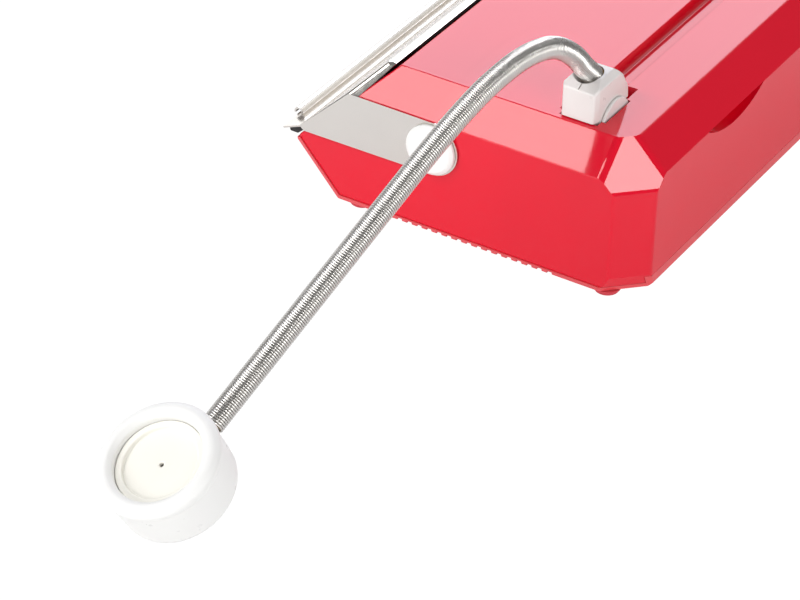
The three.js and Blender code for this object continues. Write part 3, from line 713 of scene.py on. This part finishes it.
class SEALER_OT_hose(bpy.types.Operator):
    """Wind the gooseneck hose along its route"""

    bl_idname = "sealer.hose"
    bl_label = "Gooseneck hose"

    STEPS_A_TURN = 20
    WIRE_SIDES = 7
    TURNS_A_COPY = 8

    def execute(self, context):
        line = route_line()
        length = carried_frames(line)[0][-1]
        copies = int(length * MM / sizes().coil_pitch / self.TURNS_A_COPY)
        pitch = length / (copies * self.TURNS_A_COPY + 1)
        wire = pitch * 0.49
        bm = bmesh.new()
        ring = [bm.verts.new((u, 0, v)) for u, v in
                circle(HOSE_R - wire, wire, wire, self.WIRE_SIDES)]
        loop = [bm.edges.new((a, b)) for a, b in zip(ring, ring[1:] + ring[:1])]
        bmesh.ops.spin(bm, geom=ring + loop, cent=(0, 0, 0), axis=AXES["Z"],
                       dvec=AXES["Z"] * (pitch / self.STEPS_A_TURN),
                       angle=math.tau * self.TURNS_A_COPY,
                       steps=self.TURNS_A_COPY * self.STEPS_A_TURN, use_merge=False,
                       use_duplicate=False)
        wound = bm.verts[:] + bm.edges[:] + bm.faces[:]
        for i in range(1, copies):
            copied = bmesh.ops.duplicate(bm, geom=wound)["geom"]
            bmesh.ops.translate(bm, verts=verts_of(copied),
                                vec=AXES["Z"] * (pitch * self.TURNS_A_COPY * i))
        bmesh.ops.remove_doubles(bm, verts=bm.verts, dist=1e-3)
        open_ends = [e for e in bm.edges if e.is_boundary]
        bmesh.ops.edgeloop_fill(bm, edges=open_ends)
        bmesh.ops.recalc_face_normals(bm, faces=bm.faces)
        bend_along(bm, line)
        hose = to_object(bm, "gooseneck_hose")
        finished(hose, "hose_assembly", wire_steel(), ["vacuum_hose"],
                 sharp=80, weighted=False)
        dress(turned_brass(), "hose_ferrule", "cup_ferrule")
        return {"FINISHED"}


class SEALER_OT_cup(bpy.types.Operator):
    """Turn the jar cup: its shell, its soft rim and the disc in its floor"""

    bl_idname = "sealer.cup"
    bl_label = "Jar cup"

    def execute(self, context):
        stand = facing(CUP_NORMAL, CUP_FACE)
        shell = turned(fillet([
            (0, -CUP_DEPTH), (CUP_BACK_R, -CUP_DEPTH, 5), (CUP_R - 1.0, -8.4, 0.8), (34, -8.4),
            (34, -13.1), (31, -13.1), (31, -15.5), (35, -18.5), (34.6, 3 - CUP_DEPTH),
            (0, 3 - CUP_DEPTH),
        ], 6), 128)
        shell = to_object(moved(shell, stand), "cup_shell")
        entry = Vector(HOSE_ROUTE[-1])
        heading = (entry - Vector(HOSE_ROUTE[-2])).normalized()
        bore = turned([(0, -6), (HOSE_R + 0.35, -6), (HOSE_R + 0.35, 8), (0, 8)], 48)
        carve(shell, [moved(bore, facing(heading, entry))])
        finished(shell, "hose_assembly", smooth_white(), ["cup_body"])
        rim = turned(fillet([
            (CUP_RECESS_R, -9.2), (33.7, -9.2), (33.7, -8), (CUP_R - 0.5, -8, 0.8),
            (CUP_R, -4.5, 4), (CUP_R - 4.2, 0.1, 5), (CUP_RECESS_R + 3, -0.2, 3),
            (CUP_RECESS_R, -3.2, 2.2),
        ], 8), 128)
        finished(to_object(moved(rim, stand), "cup_rim"), "hose_assembly",
                 seal_white(), ["cup_seal"], sharp=40)
        floor = -CUP_RECESS
        step_r = CUP_RECESS_R - 4.6
        disc = turned(fillet([
            (1.5, floor - 3), (33.7, floor - 3), (33.7, floor), (CUP_RECESS_R - 0.2, floor),
            (CUP_RECESS_R - 0.3, floor + 2.8, 0.8), (step_r, floor + 2.8, 1.0),
            (step_r - 0.3, floor + 0.1, 0.9), (3.2, floor + 0.1), (1.5, floor - 0.6),
        ], 5), 128)
        finished(to_object(moved(disc, stand), "cup_floor_disc"), "hose_assembly",
                 cup_cream(), ["cup_disc"])
        return {"FINISHED"}


# ---- body


def body_planes(inset=0):
    """The outer planes of the body shell, moved in by an inset."""
    slope = plane((0, -1, 1), 0, *SLOPE_TOP)
    under = Vector((0, TRAY_TOE[1] - TRAY_FRONT[1], TRAY_FRONT[0] - TRAY_TOE[0]))
    planes = {
        "deck": plane((0, 0, 1), 0, 0, DECK),
        "back": plane((0, 1, 0), 0, BACK, 0),
        "back_bevel": plane((0, 1, 1), 0, BACK, DECK - BEVEL),
        "slope": slope,
        "undercut": plane(under, 0, TIP[0] + 0.2, TIP[1] - 2.5),
        "floor": plane((0, 0, -1), 0, 0, FLOOR_OF_SHELL),
    }
    for name, side in SIDES:
        planes.update({
            f"end_{name}": plane((side, 0, 0), side * HALF, 0, 0),
            f"end_bevel_{name}": plane((side, 0, 1), side * HALF, 0, DECK - BEVEL),
            f"upright_{name}": plane((side, 1, 0), side * HALF, BACK - BEVEL, 0),
            f"facet_{name}": plane((side, 1, 1), side * (CORNER_SUM - BACK), BACK, 0),
        })
    return {key: (normal, distance - inset) for key, (normal, distance) in planes.items()}


def low_facet(side):
    """The small facet that undercuts each back corner."""
    top = TRAY_LOW.z + FOOT_FACET_RISE
    return plane((side, 1, -FOOT_FACET_LEAN), side * HALF, BACK - BEVEL, top)


def body_rounds(edge, corner):
    rounds = [("deck", "back_bevel", edge), ("back_bevel", "back", edge), ("deck", "slope", edge)]
    for name, _ in SIDES:
        end, bevel, upright, facet = [f"{part}_{name}" for part in
                                      ("end", "end_bevel", "upright", "facet")]
        rounds += [
            (facet, bevel, corner), (facet, "back_bevel", corner), (facet, upright, corner * 0.75),
            ("deck", bevel, edge), (bevel, end, edge), (end, upright, UPRIGHT_RADIUS),
            (upright, "back", UPRIGHT_RADIUS), ("slope", end, edge), ("slope", bevel, edge),
        ]
    return rounds


def scoop_outline():
    """The bow of a finger scoop, below the back bevel."""
    half, depth = SCOOP["half"], SCOOP["depth"]
    radius = (half * half + depth * depth) / (2 * depth)
    spread = math.degrees(math.asin(half / radius))
    top = DECK - BEVEL
    return arc(0, top - depth + radius, radius, 270 - spread, 270 + spread, 40)


def trough_outline(flare=0.7):
    """The hose's channel, rounded at its foot and eased at its mouth."""
    y0, y1, floor, radius = [TROUGH[k] for k in ("y0", "y1", "floor", "radius")]
    return fillet([
        (y0 - flare - 2, DECK + 2), (y0 - flare, DECK), (y0, DECK - flare), (y0, floor, radius),
        (y1, floor, radius), (y1, DECK - flare), (y1 + flare, DECK), (y1 + flare + 2, DECK + 2),
    ], 6)


def panel_holes():
    """The holes that the keys and their lamps stand in."""
    holes = []
    for x, y in BUTTONS.values():
        for v, radius, sides in ((y, BUTTON_R + BUTTON_PLAY, 64), (LAMP_Y, LAMP_R + GAP, 32)):
            holes.append(prism(circle(x, v, radius, sides), "Z", PANEL_HOLE_LOW, DECK + PAST))
    return holes


def shell_cutters():
    """Everything that is cut into the body shell."""
    k = WALL * math.sqrt(2)
    inner = body_planes(WALL)
    # open below, so the floor and the undercut lie outside the body
    cavity = convex(BLANK, {**inner, "floor": plane((0, 0, -1), 0, 0, -10),
                            "undercut": plane((0, -1, 0), 0, -160, 0),
                            "slope": plane((0, -1, 1), 0, SLOPE_TOP[0] - k + WALL,
                                           DECK - WALL)}, [])
    keep = [
        box(-HALF - PAST, POCKET["x0"] - POCKET_WALL, TROUGH["y0"] - WALL, TROUGH["y1"] + WALL,
            TROUGH["floor"] - WALL, DECK),
        box(*REAR_PAD),
    ]
    for _, side in SIDES:
        middle, reach = side * SCOOP["x"], SCOOP["half"] + 2
        keep.append(box(middle - reach, middle + reach, BACK - SCOOP["inward"] - SCOOP["wall"],
                        BACK, SCOOP["low"], SCOOP["high"]))
    hollow = to_object(cavity, "hollow")
    carve(hollow, keep)
    space = bmesh.new()
    space.from_mesh(hollow.data)
    bmesh.ops.scale(space, vec=(1 / MM,) * 3, verts=space.verts)
    bpy.data.objects.remove(hollow)

    cutters = [space, prism(trough_outline(), "X", -HALF - PAST, POCKET["x0"] + PAST)]
    x0, x1, y0, y1 = [POCKET[key] for key in ("x0", "x1", "y0", "y1")]
    cutters.append(box(x0, x1, y0, y1, POCKET["floor"], DECK + PAST))
    cutters.append(prism(circle(SWIVEL.x, SWIVEL.z, DISC_R + DISC_PLAY, 96), "Y",
                         y0 - SLOT_OUT, y1 + SLOT_OUT))
    for _, side in SIDES:
        scoop = prism(scoop_outline(), "Y", BACK - SCOOP["inward"], BACK + PAST)
        cutters.append(moved(scoop, Matrix.Translation((side * SCOOP["x"], 0, 0))))
        ends = [side * (HALF - PIVOT_BORE["reach"]), side * (HALF + PIVOT_BORE["reach"])]
        cutters.append(prism(circle(PIVOT.y, PIVOT.z, PIVOT_BORE["radius"], 32), "X",
                             min(ends), max(ends)))
    for facts in (CHAMBER, SEAL_BAR):
        well = box(-facts["half"], facts["half"], -facts["s1"], -facts["s0"], -SLOPE_POCKET, 5)
        cutters.append(moved(well, ON_SLOPE))
    cutters.append(box(PANEL["x0"] - GAP, PANEL["x1"] + GAP, PANEL["y0"] - GAP,
                       PANEL["y1"] + GAP, DECK - PANEL["depth"], DECK + PAST))
    cutters += panel_holes()
    for facts in (SWITCH, INLET):
        reach, rise = facts["half"] + GAP, facts["rise"] + GAP
        x, z = facts["x"], facts["z"]
        cutters.append(box(x - reach, x + reach, BACK - REAR_RECESS, BACK + PAST, z - rise,
                           z + rise))
        reach, rise = reach - REAR_RIM, rise - REAR_RIM
        cutters.append(box(x - reach, x + reach, BACK - REAR_DEPTH, BACK, z - rise, z + rise))
    return cutters


class SEALER_OT_housing(bpy.types.Operator):
    """Mould the red upper housing with its bevels, corner facets, scoops and trough"""

    bl_idname = "sealer.housing"
    bl_label = "Upper housing"

    def execute(self, context):
        edge, corner = sizes().edge_radius / MM, sizes().corner_radius / MM
        bm = convex(BLANK, body_planes(), body_rounds(edge, corner))
        for name, side in SIDES:
            clip(bm, *low_facet(side))
            for part in ("end", "upright"):
                round_between(bm, body_planes()[f"{part}_{name}"], low_facet(side),
                              FOOT_FACET_RADIUS)
        bmesh.ops.recalc_face_normals(bm, faces=bm.faces)
        shell = to_object(bm, "red_upper_housing")
        rabbet = box(-HALF - PAST, HALF + PAST, BACK - TRAY_WALL - GAP, BACK + PAST, 0,
                     TRAY_BACK_TOP + GAP)
        carve(shell, [*shell_cutters(), rabbet])
        finished(shell, "machine", body_red(), ["upper_housing"], sharp=24)
        dress(body_red(), "hose_socket")
        return {"FINISHED"}


class SEALER_OT_tray(bpy.types.Operator):
    """Mould the red base tray with its vents, and the feet under it"""

    bl_idname = "sealer.tray"
    bl_label = "Base tray and feet"

    CORNER_PROUD = 0.6
    VENT_START = -42
    VENT_PITCH = 7.7
    VENT_X = 207
    VENT_REACH = 17
    FLOOR_CUT = 6
    SCREW_HEAD_R = 4.4
    SCREW_R = 2.3

    def execute(self, context):
        (fy, fz), (ty, tz) = TRAY_FRONT, TRAY_TOE
        run = math.hypot(fy - ty, fz - tz)
        inward = Vector(((fz - tz) / run, (ty - fy) / run)) * TRAY_WALL
        toe_in = ty + inward.x - ((TRAY_WALL - inward.y) * (ty - fy)) / (fz - tz)
        profile = fillet([
            (BACK, TRAY_BACK_TOP), (BACK, TRAY_LOW.z + 3, 2), (BACK - 3, TRAY_LOW.z, 2),
            (ty, tz, 3), (fy, fz, 1), (fy + 0.4, fz + 2.2), (fy + inward.x, fz + inward.y),
            (toe_in, tz + TRAY_WALL), (BACK - TRAY_WALL, tz + TRAY_WALL),
            (BACK - TRAY_WALL, TRAY_BACK_TOP),
        ])
        bm = prism(profile, "X", -TRAY_HALF, TRAY_HALF)
        under = Vector((0, tz - fz, fy - ty)).normalized()
        for _, side in SIDES:
            clip(bm, *plane((side, 1, 0), side * (HALF + self.CORNER_PROUD), BACK - BEVEL, 0))
            clip(bm, *low_facet(side))
            ledge = Vector((side * TRAY_LEDGE_SLANT, 0, 0))
            clip(bm, *plane(ledge + under, side * TRAY_HALF, fy + inward.x, fz + inward.y))
            clip(bm, *plane(ledge + Vector((0, 0, -1)), side * TRAY_HALF, 0, tz + TRAY_WALL))
        bmesh.ops.recalc_face_normals(bm, faces=bm.faces)
        tray = to_object(bm, "red_base_tray")
        half_vent = sizes().vent_width / MM / 2
        cutters = []
        for i in range(sizes().vent_count):
            y = self.VENT_START + i * self.VENT_PITCH
            for _, side in SIDES:
                x = side * self.VENT_X
                cutters.append(box(x - self.VENT_REACH, x + self.VENT_REACH, y - half_vent,
                                   y + half_vent, 0, self.FLOOR_CUT))
        for i in range(1, 5):
            low, high = in_mm(f"base_screw_{i}")
            middle = (low + high) / 2
            for radius, top, sides in ((self.SCREW_HEAD_R, self.FLOOR_CUT, 32),
                                       (self.SCREW_R, 10, 24)):
                cutters.append(prism(circle(middle.x, middle.y, radius, sides), "Z", 0, top))
        carve(tray, cutters)
        finished(tray, "machine", tray_red(), ["base_tray"], sharp=24)
        for name in ("front_right", "front_left", "rear_right", "rear_left"):
            low, high = in_mm(f"foot_{name}")
            middle = (low + high) / 2
            foot = turned(fillet([(0, 0), (7.9, 0, 0.7), (9.5, 2.4, 1), (9.5, high.z),
                                  (0, high.z)]), 64)
            made = to_object(moved(foot, Matrix.Translation((middle.x, middle.y, 0))),
                             f"rubber_foot_{name}")
            finished(made, "machine", foot_red(), [f"foot_{name}"])
        dress(bright_steel(), *[f"base_screw_{i}" for i in range(1, 5)])
        return {"FINISHED"}


# ---- lid


def lid_sheet():
    """The lid's plate, flanges, lip and arms as one thin surface, before it has a thickness."""
    bm = bmesh.new()
    hip_top = ARM_X - (DECK + 0.3 - HIP_FOOT_Z)
    drop = (LID_TOP[1] - LID_FOOT[1]) / (LID_TOP[0] - LID_FOOT[0])
    hip_y = LID_FOOT[0] + (HIP_FOOT_Z - LID_FOOT[1]) / drop
    half_plate = [(ARM_X, *LID_FOOT), (ARM_X, hip_y, HIP_FOOT_Z), (hip_top, *LID_TOP)]
    right = [bm.verts.new(p) for p in half_plate]
    left = [bm.verts.new((-x, y, z)) for x, y, z in half_plate]
    bm.faces.new(right + left[::-1])
    foot, hip, top = zip(right, left)
    chain = [bm.edges.get((foot_of, to)) for foot_of, to in
             ((hip[0], top[0]), (top[0], top[1]), (top[1], hip[1]))]
    grown = bmesh.ops.extrude_edge_only(bm, edges=chain)["geom"]
    for vert in verts_of(grown):
        on_top = vert.co.z > DECK - 1
        vert.co.y += FLANGE if on_top else HIP_FLANGE
        vert.co.z -= FLANGE_DIP
        if not on_top:
            vert.co.x -= math.copysign(FLANGE_DIP, vert.co.x)
    lip = bmesh.ops.extrude_edge_only(bm, edges=[bm.edges.get(foot)])["geom"]
    shift = Vector((0, LID_LIP[0] - LID_FOOT[0], LID_LIP[1] - LID_FOOT[1]))
    bmesh.ops.translate(bm, verts=verts_of(lip), vec=shift)
    for i, side in enumerate((1, -1)):
        rim = [(LID_FOOT[0] + ARM_HEEL[0], LID_FOOT[1] + ARM_HEEL[1]),
               *arc(PIVOT.y, PIVOT.z, ARM_R, 270, 450, 40)]
        heel = [bm.verts.new((side * ARM_X, y, z)) for y, z in rim]
        bm.faces.new([foot[i], *heel, hip[i]])
    return bm


class SEALER_OT_lid(bpy.types.Operator):
    """Fold the stainless lid with its arms, flanges and rolled lip, and its front seal"""

    bl_idname = "sealer.lid"
    bl_label = "Stainless lid"

    def execute(self, context):
        bm = lid_sheet()
        bends = [e for e in bm.edges if len(e.link_faces) == 2]
        bmesh.ops.bevel(bm, geom=bends, offset=sizes().bend_radius / MM, offset_type="OFFSET",
                        segments=4, profile=0.5, affect="EDGES", material=-1, clamp_overlap=True)
        bmesh.ops.recalc_face_normals(bm, faces=bm.faces)
        lid = to_object(bm, "steel_lid")
        wall = lid.modifiers.new("sheet", "SOLIDIFY")
        wall.thickness = SHEET * MM
        wall.offset = 0
        wall.use_even_offset = True
        baked(lid)
        curl = prism(fillet(arc(*CURL_AXIS, CURL_R, 240, 560, 40)
                            + arc(*CURL_AXIS, CURL_R - SHEET, 560, 240, 40)), "X",
                     -CURL_HALF, CURL_HALF)
        carve(lid, [curl], "UNION")
        finished(lid, "lid_assembly", lid_steel(), ["lid"], sharp=28)
        seal = prism(fillet([
            (-118.9, 50.2), (-120.3, 47.2, 1), (-124.4, 43.6, 1.2), (-130.6, 43.6, 1.2),
            (-131, 45.9, 0.8), (-120.2, 50.3),
        ]), "X", 1.5 - HALF, HALF - 1.5)
        finished(to_object(seal, "rubber_front_seal"), "lid_assembly",
                 black_rubber(), ["front_seal"])
        dress(clear_silicone(), "pressure_strip")
        dress(black_rubber(), "lid_gasket")
        return {"FINISHED"}


class SEALER_OT_pivots(bpy.types.Operator):
    """Turn the white caps over the lid's pivots"""

    bl_idname = "sealer.pivots"
    bl_label = "Lid pivots"

    def execute(self, context):
        for name, side in SIDES:
            top = CAP_BASE + CAP_H
            cap = turned(fillet([
                (0, CAP_BASE), (CAP_R, CAP_BASE, 0.6), (CAP_R, top - 1.8, 1.2),
                (CAP_R - 2.6, top, 2.2), (0, top),
            ], 6), 128)
            turn = Matrix.Translation((0, PIVOT.y, PIVOT.z)) @ facing((side, 0, 0))
            finished(to_object(moved(cap, turn), f"white_pivot_cap_{name}"), "machine",
                     smooth_white(), [f"pivot_cap_{name}"])
            dress(bright_steel(), f"pivot_pin_{name}")
            dress(turned_brass(), f"pivot_collar_{name}")
        return {"FINISHED"}


# ---- hose block

BLOCK_Y = (61.3, 87.5)
# each flat of the block as its outward normal and a point on it
BLOCK_FACES = {
    "end": ((1, 0, 0), (196, 0, 0)),
    "back": ((0, 1, 0), (0, BLOCK_Y[1], 0)),
    "front": ((0, -1, 0), (0, BLOCK_Y[0], 0)),
    "top": ((0, 0, 1), (0, 0, 138.2)),
    "brow": ((5.8, 0, 11), (196, 0, 132.4)),
    "back_corner": ((1.5, 5, 0), (196, 86, 0)),
    "front_corner": ((1.5, -5, 0), (196, 62.6, 0)),
    "back_brow": ((0, 4.4, 4), (0, BLOCK_Y[1], 134)),
    "front_brow": ((0, -4.4, 4), (0, BLOCK_Y[0], 134)),
    "shoulder": ((-6.7, 0, 8), (159, 0, 131.5)),
    "slant": ((-9.5, 0, 6.4), (152.6, 0, 122)),
    "tail": ((-11, 0, 1), (151.6, 0, 111)),
    "foot": ((0, 0, -1), (0, 0, 110.8)),
}
BLOCK_EDGES = [("end", "brow"), ("brow", "top"), ("top", "shoulder"), ("shoulder", "slant"),
               ("slant", "tail"), ("end", "back_corner"), ("back_corner", "back"),
               ("end", "front_corner"), ("front_corner", "front"), ("top", "back_brow"),
               ("back_brow", "back"), ("top", "front_brow"), ("front_brow", "front"),
               ("brow", "back_corner"), ("shoulder", "back"), ("shoulder", "front"),
               ("slant", "back"), ("slant", "front")]
BLOCK_BLANK = 600  # side of the cube that the block is cut from
DRUM_R = 20
DISC_Y = {"front": (58.8, 61), "rear": (87.8, 90)}
DISC_EDGE = 0.7
DUCT = {"radius": 3, "low": 70, "high": 132}
SPLIT = (183, 200, 73.2, 74, 132.5, 140)  # x, y and z of the fine split at the hose's foot


class SEALER_OT_block(bpy.types.Operator):
    """Shape the white swivel block that holds the hose, and its two discs"""

    bl_idname = "sealer.block"
    bl_label = "Hose block"

    def execute(self, context):
        planes = {name: plane(normal, *point) for name, (normal, point) in BLOCK_FACES.items()}
        r = sizes().block_radius / MM
        rounds = [(a, b, r) for a, b in BLOCK_EDGES]
        head = to_object(convex(BLOCK_BLANK, planes, rounds), "white_hose_block")
        drum = prism(circle(SWIVEL.x, SWIVEL.z, DRUM_R, 96), "Y", *BLOCK_Y)
        carve(head, [drum], "UNION")
        start = Vector(HOSE_ROUTE[0])
        lean = (Vector(HOSE_ROUTE[1]) - start).normalized()
        bowl = turned(fillet([(0, -9), (HOSE_R + 0.4, -9), (HOSE_R + 0.5, -1.5, 2),
                              (HOSE_R + 2.6, 12), (0, 12)]), 96)
        duct = prism(circle(SWIVEL.x, SWIVEL.y, DUCT["radius"], 24), "Z", DUCT["low"],
                     DUCT["high"])
        carve(head, [moved(bowl, facing(lean, start)), duct, box(*SPLIT)])
        finished(head, "hose_assembly", block_white(), ["hose_block"], sharp=24)
        for name, (low, high) in DISC_Y.items():
            disc = turned(fillet([(0, low), (DISC_R, low, DISC_EDGE), (DISC_R, high, DISC_EDGE),
                                  (0, high)]), 128)
            turn = Matrix.Translation((SWIVEL.x, 0, SWIVEL.z)) @ facing((0, 1, 0))
            finished(to_object(moved(disc, turn), f"white_trunnion_{name}"), "hose_assembly",
                     smooth_white(), [f"trunnion_{name}"])
        return {"FINISHED"}


# ---- controls and fittings


class SEALER_OT_controls(bpy.types.Operator):
    """Make the control panel, its two keys and their lamps"""

    bl_idname = "sealer.controls"
    bl_label = "Controls"

    def execute(self, context):
        corner = 3
        outline = fillet([(u, v, corner) for u, v in
                          rectangle(PANEL["x0"], PANEL["x1"], PANEL["y0"], PANEL["y1"])], 6)
        panel = to_object(prism(outline, "Z", DECK - PANEL["depth"] + GAP, DECK), "control_plate")
        carve(panel, panel_holes())
        finished(panel, "machine", dark_plastic(), ["control_panel"])
        for name, (x, y) in BUTTONS.items():
            top = DECK + 2.4
            key = turned(fillet([(0, 95), (4, 95), (4, 103), (BUTTON_R, 103), (BUTTON_R, top, 1.2),
                                 (BUTTON_R - 2.6, top - 0.1, 2), (BUTTON_R - 4.5, top - 0.7, 3),
                                 (0, top - 0.8)]), 96)
            finished(to_object(moved(key, Matrix.Translation((x, y, 0))), f"{name}_key"),
                     f"{name}_key", smooth_white(), [f"button_{name}"])
            lens = turned(fillet([(0, 93), (LAMP_R, 93), (LAMP_R, DECK + 0.9, 1.1),
                                  (0, DECK + 1)]), 48)
            finished(to_object(moved(lens, Matrix.Translation((x, LAMP_Y, 0))), f"{name}_lens"),
                     "machine", lamp_red(), [f"lamp_{name}"])
        return {"FINISHED"}


class SEALER_OT_rear_fittings(bpy.types.Operator):
    """Make the frame of the power switch, the rocker in it and the mains inlet"""

    bl_idname = "sealer.rear_fittings"
    bl_label = "Rear fittings"

    def execute(self, context):
        def plate(facts, depth):
            x, z, half, rise = facts["x"], facts["z"], facts["half"], facts["rise"]
            outline = fillet([(u, v, 1.5) for u, v in
                              rectangle(x - half, x + half, z - rise, z + rise)])
            return prism(outline, "Y", BACK - depth, BACK)

        x, z = SWITCH["x"], SWITCH["z"]
        surround = to_object(plate(SWITCH, REAR_RECESS - GAP), "switch_surround")
        carve(surround, [box(x - 9.6, x + 9.6, BACK - 4, BACK + PAST, z - 11.5, z + 11.5)])
        finished(surround, "machine", dark_plastic(), ["switch_frame"])
        rocker = prism(fillet([
            (BACK - 13, z - 4), (BACK - 7, z - 9.5), (BACK - 3, z - 10, 1), (BACK - 2, z, 6),
            (BACK - 0.2, z + 9.2, 1), (BACK - 6, z + 9.5), (BACK - 13, z + 4),
        ]), "X", x - 9, x + 9)
        finished(to_object(rocker, "power_rocker_key"), "power_key",
                 dark_plastic(), ["power_rocker"])
        x, z = INLET["x"], INLET["z"]
        inlet = to_object(plate(INLET, REAR_RECESS - GAP), "mains_inlet")
        carve(inlet, [box(x - 13, x + 13, BACK - 20, BACK - 1, z - 8, z + 8)], "UNION")
        mouth = fillet([(u, v, 4) for u, v in rectangle(x - 8.5, x + 8.5, z - 4.6, z + 4.6)])
        carve(inlet, [prism(mouth, "Y", BACK - 14, BACK + PAST)])
        finished(inlet, "machine", dark_plastic(), ["power_inlet"])
        dress(turned_brass(), "inlet_pin_right", "inlet_pin_left")
        return {"FINISHED"}


class SEALER_OT_works(bpy.types.Operator):
    """Give the sealing parts and the works inside the body their finishes"""

    bl_idname = "sealer.works"
    bl_label = "Works"

    def execute(self, context):
        dress(grey_plastic(), "vacuum_chamber", "pump_frame", "pump_cylinder", "pump_head")
        dress(black_rubber(), "chamber_gasket")
        dress(cast_aluminium(), "sealing_bar")
        dress(bright_steel(), "heating_strip", "motor_shaft", "pump_crank", "piston_rod")
        dress(release_tape(), "release_tape")
        dress(board_green(), "circuit_board")
        dress(dark_plastic(), "tact_switch_vacuum", "tact_switch_seal", "cooling_fan", "piston")
        dress(motor_steel(), "transformer_core", "pump_motor")
        dress(copper_wire(), "transformer_coil")
        dress(clear_silicone(), "suction_tube")
        return {"FINISHED"}


PIECES = (
    SEALER_OT_stage, SEALER_OT_cup, SEALER_OT_hose, SEALER_OT_housing, SEALER_OT_tray,
    SEALER_OT_lid, SEALER_OT_pivots, SEALER_OT_block, SEALER_OT_controls,
    SEALER_OT_rear_fittings, SEALER_OT_works,
)


class SEALER_PT_pieces(bpy.types.Panel):
    """Lists the pieces of the vacuum sealer"""

    bl_idname = "SEALER_PT_pieces"
    bl_label = "Vacuum sealer"
    bl_space_type = "VIEW_3D"
    bl_region_type = "UI"
    bl_category = "Sealer"

    def draw(self, context):
        for group in (context.scene.sealer_sizes, context.scene.sealer_colours):
            column = self.layout.column()
            for key in group.__annotations__:
                column.prop(group, key)
        for piece in PIECES:
            self.layout.operator(piece.bl_idname)


CLASSES = (SealerSizes, SealerColours, *PIECES, SEALER_PT_pieces)


def register():
    for cls in CLASSES:
        bpy.utils.register_class(cls)
    bpy.types.Scene.sealer_sizes = PointerProperty(type=SealerSizes)
    bpy.types.Scene.sealer_colours = PointerProperty(type=SealerColours)


def unregister():
    del bpy.types.Scene.sealer_colours
    del bpy.types.Scene.sealer_sizes
    for cls in reversed(CLASSES):
        bpy.utils.unregister_class(cls)


def main():
    """Builds every piece in order."""
    register()
    for piece in PIECES:
        family, _, name = piece.bl_idname.partition(".")
        getattr(getattr(bpy.ops, family), name)()


if __name__ == "__main__":
    main()
